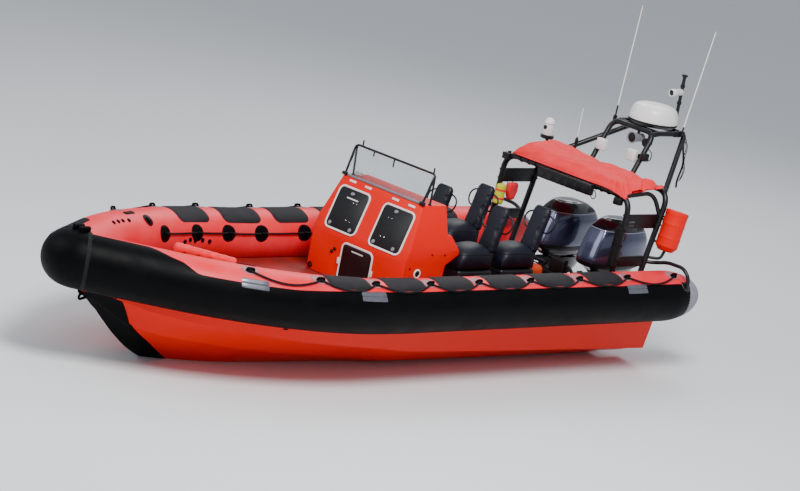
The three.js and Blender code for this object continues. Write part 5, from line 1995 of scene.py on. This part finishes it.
def makeThrowBags():
    look = bagLook
    foot, top = Vector(look["foot"]), Vector(look["top"])
    long = (top - foot).length
    profile = look["profile"] + [(0.012, long - 0.004), (0, long - 0.003)]
    bag = lathePiece("throwBag", profile, foot, top - foot, 36)
    swell(bag, 0.006, 2, 0.003, lambda co: co.z < 1.185)
    # the mouth drawn together
    for vertex in bag.data.vertices:
        swing = math.atan2(vertex.co.y + 0.807, vertex.co.x + 2.73)
        pull = max(0, (vertex.co.z - 1.33) / 0.06)
        vertex.co.z -= 0.003 * pull * (1 + math.cos(9 * swing))
    subdivided(bag)
    finishPiece(bag, "nylonYellow", slot="yellow_fabric", replaces=["throw_bag"], angle=60)
    bands = []
    for share in look["bands"]:
        bands.append(bandPiece("band", 0.0535, 0.0555, 0.02, foot + (top - foot) * share, top - foot, 36))
    finishJoined("throwBagBands", bands, "canvasRed", slot="yellow_fabric")
    red = softBlock("redBag", look["redLow"], look["redHigh"], 0.03, 0.006, 0.005)
    # narrower to its foot
    for vertex in red.data.vertices:
        low = max(0, (1.31 - vertex.co.z) / 0.095)
        vertex.co.x += (-2.925 - vertex.co.x) * 0.55 * low
    finishPiece(red, "canvasRed", slot="red_canvas", angle=60)
    hangers = []
    for x in look["hangers"]:
        hangers.append(bentPipe("hanger", [(x, -0.86, 1.385), (x, -0.875, 1.41)], 0.004, 0.01, 2))
    finishJoined("bagHangers", hangers, "nylonBlack", slot="black_fabric")


makeSidePanels()
makeLightBox()
makeLacing()
makePouch()
makeThrowBags()
print("frame gear made")

# Engines: z, front x, back x, half width, half width of the front; metres from the transom
cowlLook = {
    "sections": [
        (0.905, 0.1, -0.68, 0.215, 0.13),
        (0.93, 0.1, -0.694, 0.222, 0.135),
        (1.02, 0.073, -0.704, 0.224, 0.135),
        (1.13, 0.036, -0.704, 0.222, 0.133),
        (1.20, 0.004, -0.675, 0.214, 0.125),
        (1.255, -0.026, -0.632, 0.198, 0.112),
        (1.3, -0.065, -0.572, 0.168, 0.092),
        (1.335, -0.11, -0.5, 0.13, 0.07),
        (1.355, -0.16, -0.42, 0.09, 0.045),
    ],
    "pan": [
        (0.852, 0.075, -0.6, 0.188, 0.108), (0.872, 0.095, -0.655, 0.208, 0.125),
        (0.9, 0.104, -0.69, 0.219, 0.131),
    ],
    "low": 0.905,
    "capFrom": 1.245,
    "capTo": 1.352,
    # the intakes: degrees from ahead, and their height; proud is the reach of the rim and the intakes
    "intakeFrom": 118,
    "intakeLong": 46,
    "intakeZ": 1.262,
    "proud": 0.0045,
}
engineSpacing = 0.35


# A smooth closed plan outline through the cover's corners at a height
def cowlRing(row, grow=0.0, count=64):
    front, back, half, nose = row
    long = front - back
    corners = [
        (front, 0), (front - 0.004, 0.62 * nose), (front - 0.05 * long, nose), (front - 0.32 * long, half),
        (front - 0.62 * long, 0.97 * half), (back + 0.09 * long, 0.72 * half), (back + 0.012, 0.4 * half),
        (back, 0),
    ]
    closed = corners + [(x, -y) for x, y in reversed(corners[1:-1])]
    middle = Vector(((front + back) / 2, 0))
    ring = []
    total = len(closed)
    for i in range(count):
        place = i / count * total
        k = int(place)
        t = place - k
        p = [Vector(closed[(k + j) % total]) for j in (-1, 0, 1, 2)]
        point = 0.5 * (
            2 * p[1] + (p[2] - p[0]) * t + (2 * p[0] - 5 * p[1] + 4 * p[2] - p[3]) * t**2
            + (3 * p[1] - p[0] - 3 * p[2] + p[3]) * t**3
        )
        ring.append(point + (point - middle).normalized() * grow)
    return ring


def cowlShell(name, table, low, high, steps, grow=0.0, dome=0.0):
    rings = []
    for i in range(steps + 1):
        z = low + (high - low) * i / steps
        rings.append([Vector((p.x, p.y, z)) for p in cowlRing(smoothRow(table, z), grow)])
    if dome:
        last = rings[-1]
        middle = sum(last, Vector()) / len(last)
        for i in range(1, 9):
            t = i / 8
            shrink, rise = 1 - t**1.6, dome * (1 - (1 - t) ** 2)
            spans = [p - middle for p in last]
            rings.append([middle + Vector((span.x * shrink, span.y * shrink, rise)) for span in spans])
    return fillHoles(lofted(name, rings))


def makeCowl():
    look = cowlLook
    table, cap = look["sections"], look["capFrom"]
    body = cowlShell("cowlBody", table, look["low"], cap, 22)
    lid = cowlShell("cowlCap", table, cap + 0.004, look["capTo"], 14, 0.003, 0.011)
    rim = cowlShell("cowlRim", table, cap - 0.004, cap + 0.004, 2, look["proud"])
    pan = cowlShell("cowlPan", look["pan"], 0.852, 0.9, 6)
    seam = cowlShell("cowlSeam", look["pan"], 0.898, 0.908, 1, -0.004)
    return body, lid, rim, joinPieces("cowlPan", [pan, seam])


def makeIntake():
    look = cowlLook
    intakes = []
    for side in (1, -1):

        def place(u, v):
            angle = math.radians(side * (look["intakeFrom"] + look["intakeLong"] * u))
            z = look["intakeZ"] + (0.012 + 0.03 * math.sin(math.pi * u)) * v
            row = smoothRow(look["sections"], z)
            middle = Vector(((row[0] + row[1]) / 2, 0))
            heading = Vector((math.cos(angle), math.sin(angle)))
            ring = cowlRing(row, look["proud"], 180)
            best = max(ring, key=lambda p: (p - middle).normalized().dot(heading))
            return Vector((best.x, best.y, z))

        intakes.append(shapedGrid("airIntake", 24, 6, place, 0.00001))
    return joinPieces("airIntake", intakes)


# The same pieces at both engines; a row is piece, material, body, slot and the solid that it stands for
def setAtEngines(rows):
    for side, name in bothSides:
        shift = Matrix.Translation((transomX, side * engineSpacing, 0))
        for piece, material, body, slot, solid in rows:
            twin = copyPiece(piece, piece.name + name.title(), shift)
            stands = [solid + name] if solid else ()
            finishPiece(twin, material, body + name, slot, stands, 40)
    for row in rows:
        bpy.data.objects.remove(row[0])


def makeEngines():
    body, lid, rim, pan = makeCowl()
    setAtEngines([
        (body, "lacquerBlue", "engine_", "engine_paint", "engine_cowl_"),
        (lid, "lacquerDark", "engine_", "engine_paint", None),
        (rim, "lacquerRim", "engine_", "engine_paint", None),
        (pan, "absBlack", "engine_", "engine_paint", None),
        (makeIntake(), "absBlack", "engine_", "engine_paint", None),
    ])


makeEngines()
print("engine covers made")

# Engines below the covers: leg sections [z, front, back, half width], metres from the transom
legLook = {
    "sections": [
        (-0.425, -0.265, -0.33, 0.0045), (-0.25, -0.215, -0.42, 0.011), (-0.15, -0.19, -0.43, 0.021),
        (0.01, -0.185, -0.4, 0.033), (0.3, -0.185, -0.35, 0.053), (0.8, -0.185, -0.38, 0.083),
    ],
    "low": -0.425,
    "tall": 1.225,
    "pan": [
        (0.765, -0.06, -0.47, 0.104, 0.069), (0.8, -0.025, -0.55, 0.159, 0.094),
        (0.8497, 0.06, -0.595, 0.185, 0.105),
    ],
    "apron": [
        (0.56, -0.2, -0.46, 0.08, 0.06), (0.66, -0.195, -0.54, 0.12, 0.09),
        (0.77, -0.19, -0.575, 0.15, 0.11),
    ],
    # one half of each plate's outline, from its nose to its tail
    "plate": [(-0.18, 0.05), (-0.25, 0.093), (-0.5, 0.104), (-0.52, 0.09)],
    "splash": [(-0.2, 0.055), (-0.4, 0.06), (-0.43, 0.03)],
    "vents": 4,
    "shaftZ": -0.19,
    "blades": 3,
    "bolts": [(-3.03, 0.43), (-3.03, 0.53), (-3.03, 0.62)],
    "boltY": 0.1255,
}


def legRing(z, front, back, half):
    ring = []
    for i in range(32):
        angle = 2 * math.pi * i / 32
        share = (1 - math.cos(angle)) / 2
        thick = half * (math.sin(math.pi * share**0.6) ** 0.6 if 0 < share < 1 else 0)
        ring.append(Vector((front + (back - front) * share, math.copysign(thick, math.sin(angle)), z)))
    return ring


def flatPlate(name, nose, half, low, high):
    outline = [(nose, 0)] + half + [(x, -y) for x, y in reversed(half)]
    return outlinePiece(name, outline, "z", low, high, 0.003)


def makeLeg():
    look = legLook
    rings = []
    for i in range(41):
        z = look["low"] + look["tall"] * i / 40
        rings.append(legRing(z, *smoothRow(look["sections"], z)))
    parts = [
        fillHoles(lofted("legBlade", rings)),
        cowlShell("legPan", look["pan"], 0.765, 0.8497, 8),
        cowlShell("apron", look["apron"], 0.56, 0.768, 8),
        flatPlate("plate", -0.15, look["plate"], 0.0125, 0.0215),
        flatPlate("splash", -0.17, look["splash"], 0.11, 0.117),
        turnedPart("gearcase", (-0.13, 0, look["shaftZ"]), (-1, 0, 0)),
        blockPiece("legFoot", (-0.23, -0.045, 0.345), (-0.095, 0.045, 0.3995), 0.012, 3),
    ]
    for k in range(look["vents"]):
        x = -0.3 - 0.02 * k
        for side in (1, -1):
            y = side * 0.03
            parts.append(blockPiece("vent", (x, y - 0.007, -0.12), (x + 0.008, y + 0.007, -0.06), 0.002))
    return joinPieces("engineLeg", parts)


def makePropeller():
    z = legLook["shaftZ"]
    parts = [turnedPart("propellerHub", (-0.47, 0, z), (-1, 0, 0))]
    for k in range(legLook["blades"]):
        turn = Matrix.Rotation(2 * math.pi * k / legLook["blades"], 4, "X")

        def place(u, v):
            reach = 0.034 + 0.126 * u
            wide = 0.055 + 0.05 * math.sin(math.pi * min(1, u * 1.15) ** 1.4)
            wide *= math.sqrt(max(0.02, 1 - u**5))
            pitch = math.radians(62 - 24 * u)
            across = (v - 0.5) * wide
            point = Vector((-0.53 + across * math.cos(pitch) - 0.018 * u, across * math.sin(pitch), reach))
            return Matrix.Translation((0, 0, z)) @ (turn @ point)

        blade = shapedGrid("blade", 16, 14, place, 0.00005)
        parts.append(applied(blade, "SOLIDIFY", thickness=0.005, offset=0))
    return joinPieces("propeller", parts)


# A merged copy of a solid from the frame, its flat faces rejoined and its edges rounded
def refined(node, name, edge):
    twin = copyPiece(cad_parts[node], name, Matrix.Identity(4))
    edit(twin)
    bpy.ops.mesh.remove_doubles(threshold=0.0001)
    bpy.ops.mesh.dissolve_limited(angle_limit=math.radians(2))
    bpy.ops.mesh.normals_make_consistent(inside=False)
    leave()
    return bevelled(twin, edge)


def makeEngineMounts():
    for side, name in bothSides:
        y = side * engineSpacing
        parts = [refined("clamp_bracket_" + name, "clamp", 0.004)]
        for across in (legLook["boltY"], -legLook["boltY"]):
            for x, z in legLook["bolts"]:
                parts.append(turnedPart("mountBolt", (x, y + across * 0.99, z), (0, across, 0)))
        clamp = joinPieces("clampBracket" + name.title(), parts)
        finishPiece(clamp, "castGrey", slot="engine_paint", replaces=["clamp_bracket_" + name])
        swivel = refined("swivel_bracket_" + name, "swivelBracket" + name.title(), 0.003)
        finishPiece(swivel, "castGrey", "swivel_" + name, "engine_paint", ["swivel_bracket_" + name])


makeEngineMounts()
setAtEngines([
    (makeLeg(), "lacquerDark", "engine_", "engine_paint", "engine_leg_"),
    (makePropeller(), "stainless", "propeller_", "propeller_steel", "propeller_"),
])
print("engine legs made")

# Transom, the dark boxes before it and the stowed orange bag
sternLook = {
    # low corner, high corner, rounding
    "boxes": [
        ((-2.9, 0.2, 0.592), (-2.68, 0.6, 0.66), 0.015),
        ((-2.9, -0.62, 0.592), (-2.68, -0.42, 0.66), 0.015),
        ((-2.935, -0.7, 0.62), (-2.9, 0.7, 0.668), 0.01),
        ((-2.985, -0.1, 0.665), (-2.9, 0.1, 0.83), 0.02),
    ],
    "hoses": 3,
    # x, distance from the middle and z
    "fuelHose": [(-2.915, 0.5, 0.6), (-2.92, 0.53, 0.72), (-2.93, 0.58, 0.69), (-2.935, 0.6, 0.62)],
    "sackLow": (-2.75, -0.285, 0.592),
    "sackHigh": (-2.51, -0.005, 0.745),
    "belt": (-2.63, -0.125, 0.67),
    "beltReach": (0.121, 0.078),
    "beltWide": 4,
}


def makeStern():
    look = sternLook
    transom = refined("transom", "transomBeam", 0.008)
    finishPiece(transom, "podBlack", slot="moulding_gelcoat", replaces=["transom"])
    dark = [blockPiece("box", low, high, edge, 3) for low, high, edge in look["boxes"]]
    for side in (1, -1):
        for k in range(look["hoses"]):
            low = 0.69 + 0.035 * k
            route = [
                (-2.94, side * 0.095, low), (-2.945, side * 0.15, low + 0.05 - 0.02 * k),
                (-2.96, side * 0.19, 0.72), (-2.965, side * 0.212, 0.69),
            ]
            dark.append(bentPipe("riggingHose", route, 0.014, 0.05, 3))
        route = [(x, side * y, z) for x, y, z in look["fuelHose"]]
        dark.append(bentPipe("fuelHose", route, 0.013, 0.05, 3))
    finishJoined("splashwellParts", dark, "absBlack", slot="black_plastic", angle=40)
    sack = softBlock("stowedBag", look["sackLow"], look["sackHigh"], 0.05, 0.009, 0.006)
    finishPiece(sack, "canvasOrange", slot="red_canvas", angle=60)
    x, y, z = look["belt"]
    long, tall = look["beltReach"]
    belt = []
    for i in range(24):
        angle = 2 * math.pi * i / 24
        c, s = math.cos(angle), math.sin(angle)
        across, up = long * math.copysign(abs(c) ** 0.45, c), tall * math.copysign(abs(s) ** 0.45, s)
        belt.append(Vector((x + across, y, z + up)))
    strap = pipeAlong("belt", belt, 0.004, 2, True)
    for vertex in strap.data.vertices:
        vertex.co.y = y + (vertex.co.y - y) * look["beltWide"]
    finishPiece(strap, "absWhite", slot="white_plastic")


# Bow: padded roll along the port side, and the fairlead
bowLook = {
    "rollFoot": (2.7, 0.444, 1.174),
    "rollTop": (2.14, 0.676, 1.075),
    "rollEnd": [(0, 0.002), (0.02, 0.004), (0.036, 0.012), (0.042, 0.026)],
    "ribs": 13,
    "fairleadX": 3.4,
    "humps": (0.045, -0.045),
}


def makeBow():
    look = bowLook
    foot, top = Vector(look["rollFoot"]), Vector(look["rollTop"])
    long, ribs = (top - foot).length, look["ribs"]
    profile = list(look["rollEnd"])
    profile += [(0.0425 - 0.003 * (k % 2), 0.04 + (long - 0.08) * k / (ribs - 1)) for k in range(ribs)]
    profile += [(0.042, long - 0.026), (0.036, long - 0.012), (0.02, long - 0.004), (0, long - 0.002)]
    roll = lathePiece("bowRoll", profile, foot, top - foot, 40)
    swell(roll, 0.006, 2, 0.003, lambda co: False)
    subdivided(roll)
    finishPiece(roll, "hypalonRed", slot="red_canvas", replaces=["bow_roll"], angle=60)
    noseTop = axisHeight(look["fairleadX"]) + collar["radius"]
    parts = []
    for y in look["humps"]:
        low, high = (3.345, y - 0.024, noseTop - 0.02), (3.465, y + 0.024, noseTop + 0.05)
        parts.append(blockPiece("hump", low, high, 0.018, 4))
    low, high = (3.342, -0.073, noseTop - 0.035), (3.468, 0.073, noseTop + 0.004)
    parts.append(blockPiece("pad", low, high, 0.012, 3))
    bar = [(3.405, -0.066, noseTop + 0.03), (3.405, 0.066, noseTop + 0.03)]
    parts.append(bentPipe("bar", bar, 0.012, 0.01))
    fairlead = joinPieces("bowFairlead", parts)
    finishPiece(fairlead, "neopreneBlack", slot="black_rubber", replaces=["bow_fairlead"], angle=40)


# Straps over the collar's seams, chafe pads, valves, drains and studs: x and degrees round the tube
strapLook = {
    "wide": 0.036,
    "from": -70,
    "round": 320,
    "proud": 0.007,
    "chafePad": (2.2, 102),
    "valve": (2.01, 130),
    "studs": [
        (2.69, 120), (2.58, 121), (2.48, 122), (2.36, 124), (1.44, 182), (1.36, 178), (1.28, 180),
        (1.17, 179), (1.06, 182),
    ],
    "drain": (1.79, -72),
}


def makeCollarStraps():
    look = strapLook
    straps, black = [], []
    for side in (1, -1):
        start = stationOf(collar["seamX"])

        def place(u, v):
            lift = look["proud"] * min(1, 20 * min(v, 1 - v) + 0.2)
            return onTube(start + look["wide"] * (u - 0.5), look["from"] + look["round"] * v, lift, side)

        straps.append(shapedGrid("seamStrap", 3, 60, place, 0.00001))
        black.append(layOnTube(flatPatch("chafePad", 0.2, 0.05, 0.02, 0.007), *look["chafePad"], side))
        black.append(layOnTube(turnedPart("valve", (0, 0, 0)), *look["valve"], side))
        for x, angle in look["studs"]:
            black.append(layOnTube(turnedPart("stud", (0, 0, 0)), x, angle, side))
        black.append(layOnTube(turnedPart("drain", (0, 0, 0)), *look["drain"], side))
    finishJoined("seamStraps", straps, "nylonBlack", slot="black_rubber", angle=50)
    finishJoined("collarStraps", black, "neopreneBlack", slot="black_rubber", angle=50)


makeStern()
makeBow()
makeCollarStraps()
print("stern and bow made")

# Finishes of the solids: only the deck is shown as it is, and pieces stand for all the others
for name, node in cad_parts.items():
    node.data.materials.clear()
    node.data.materials.append(finish["deckNonSlip" if name == "deck" else "powderCoat"])
print("solids finished")
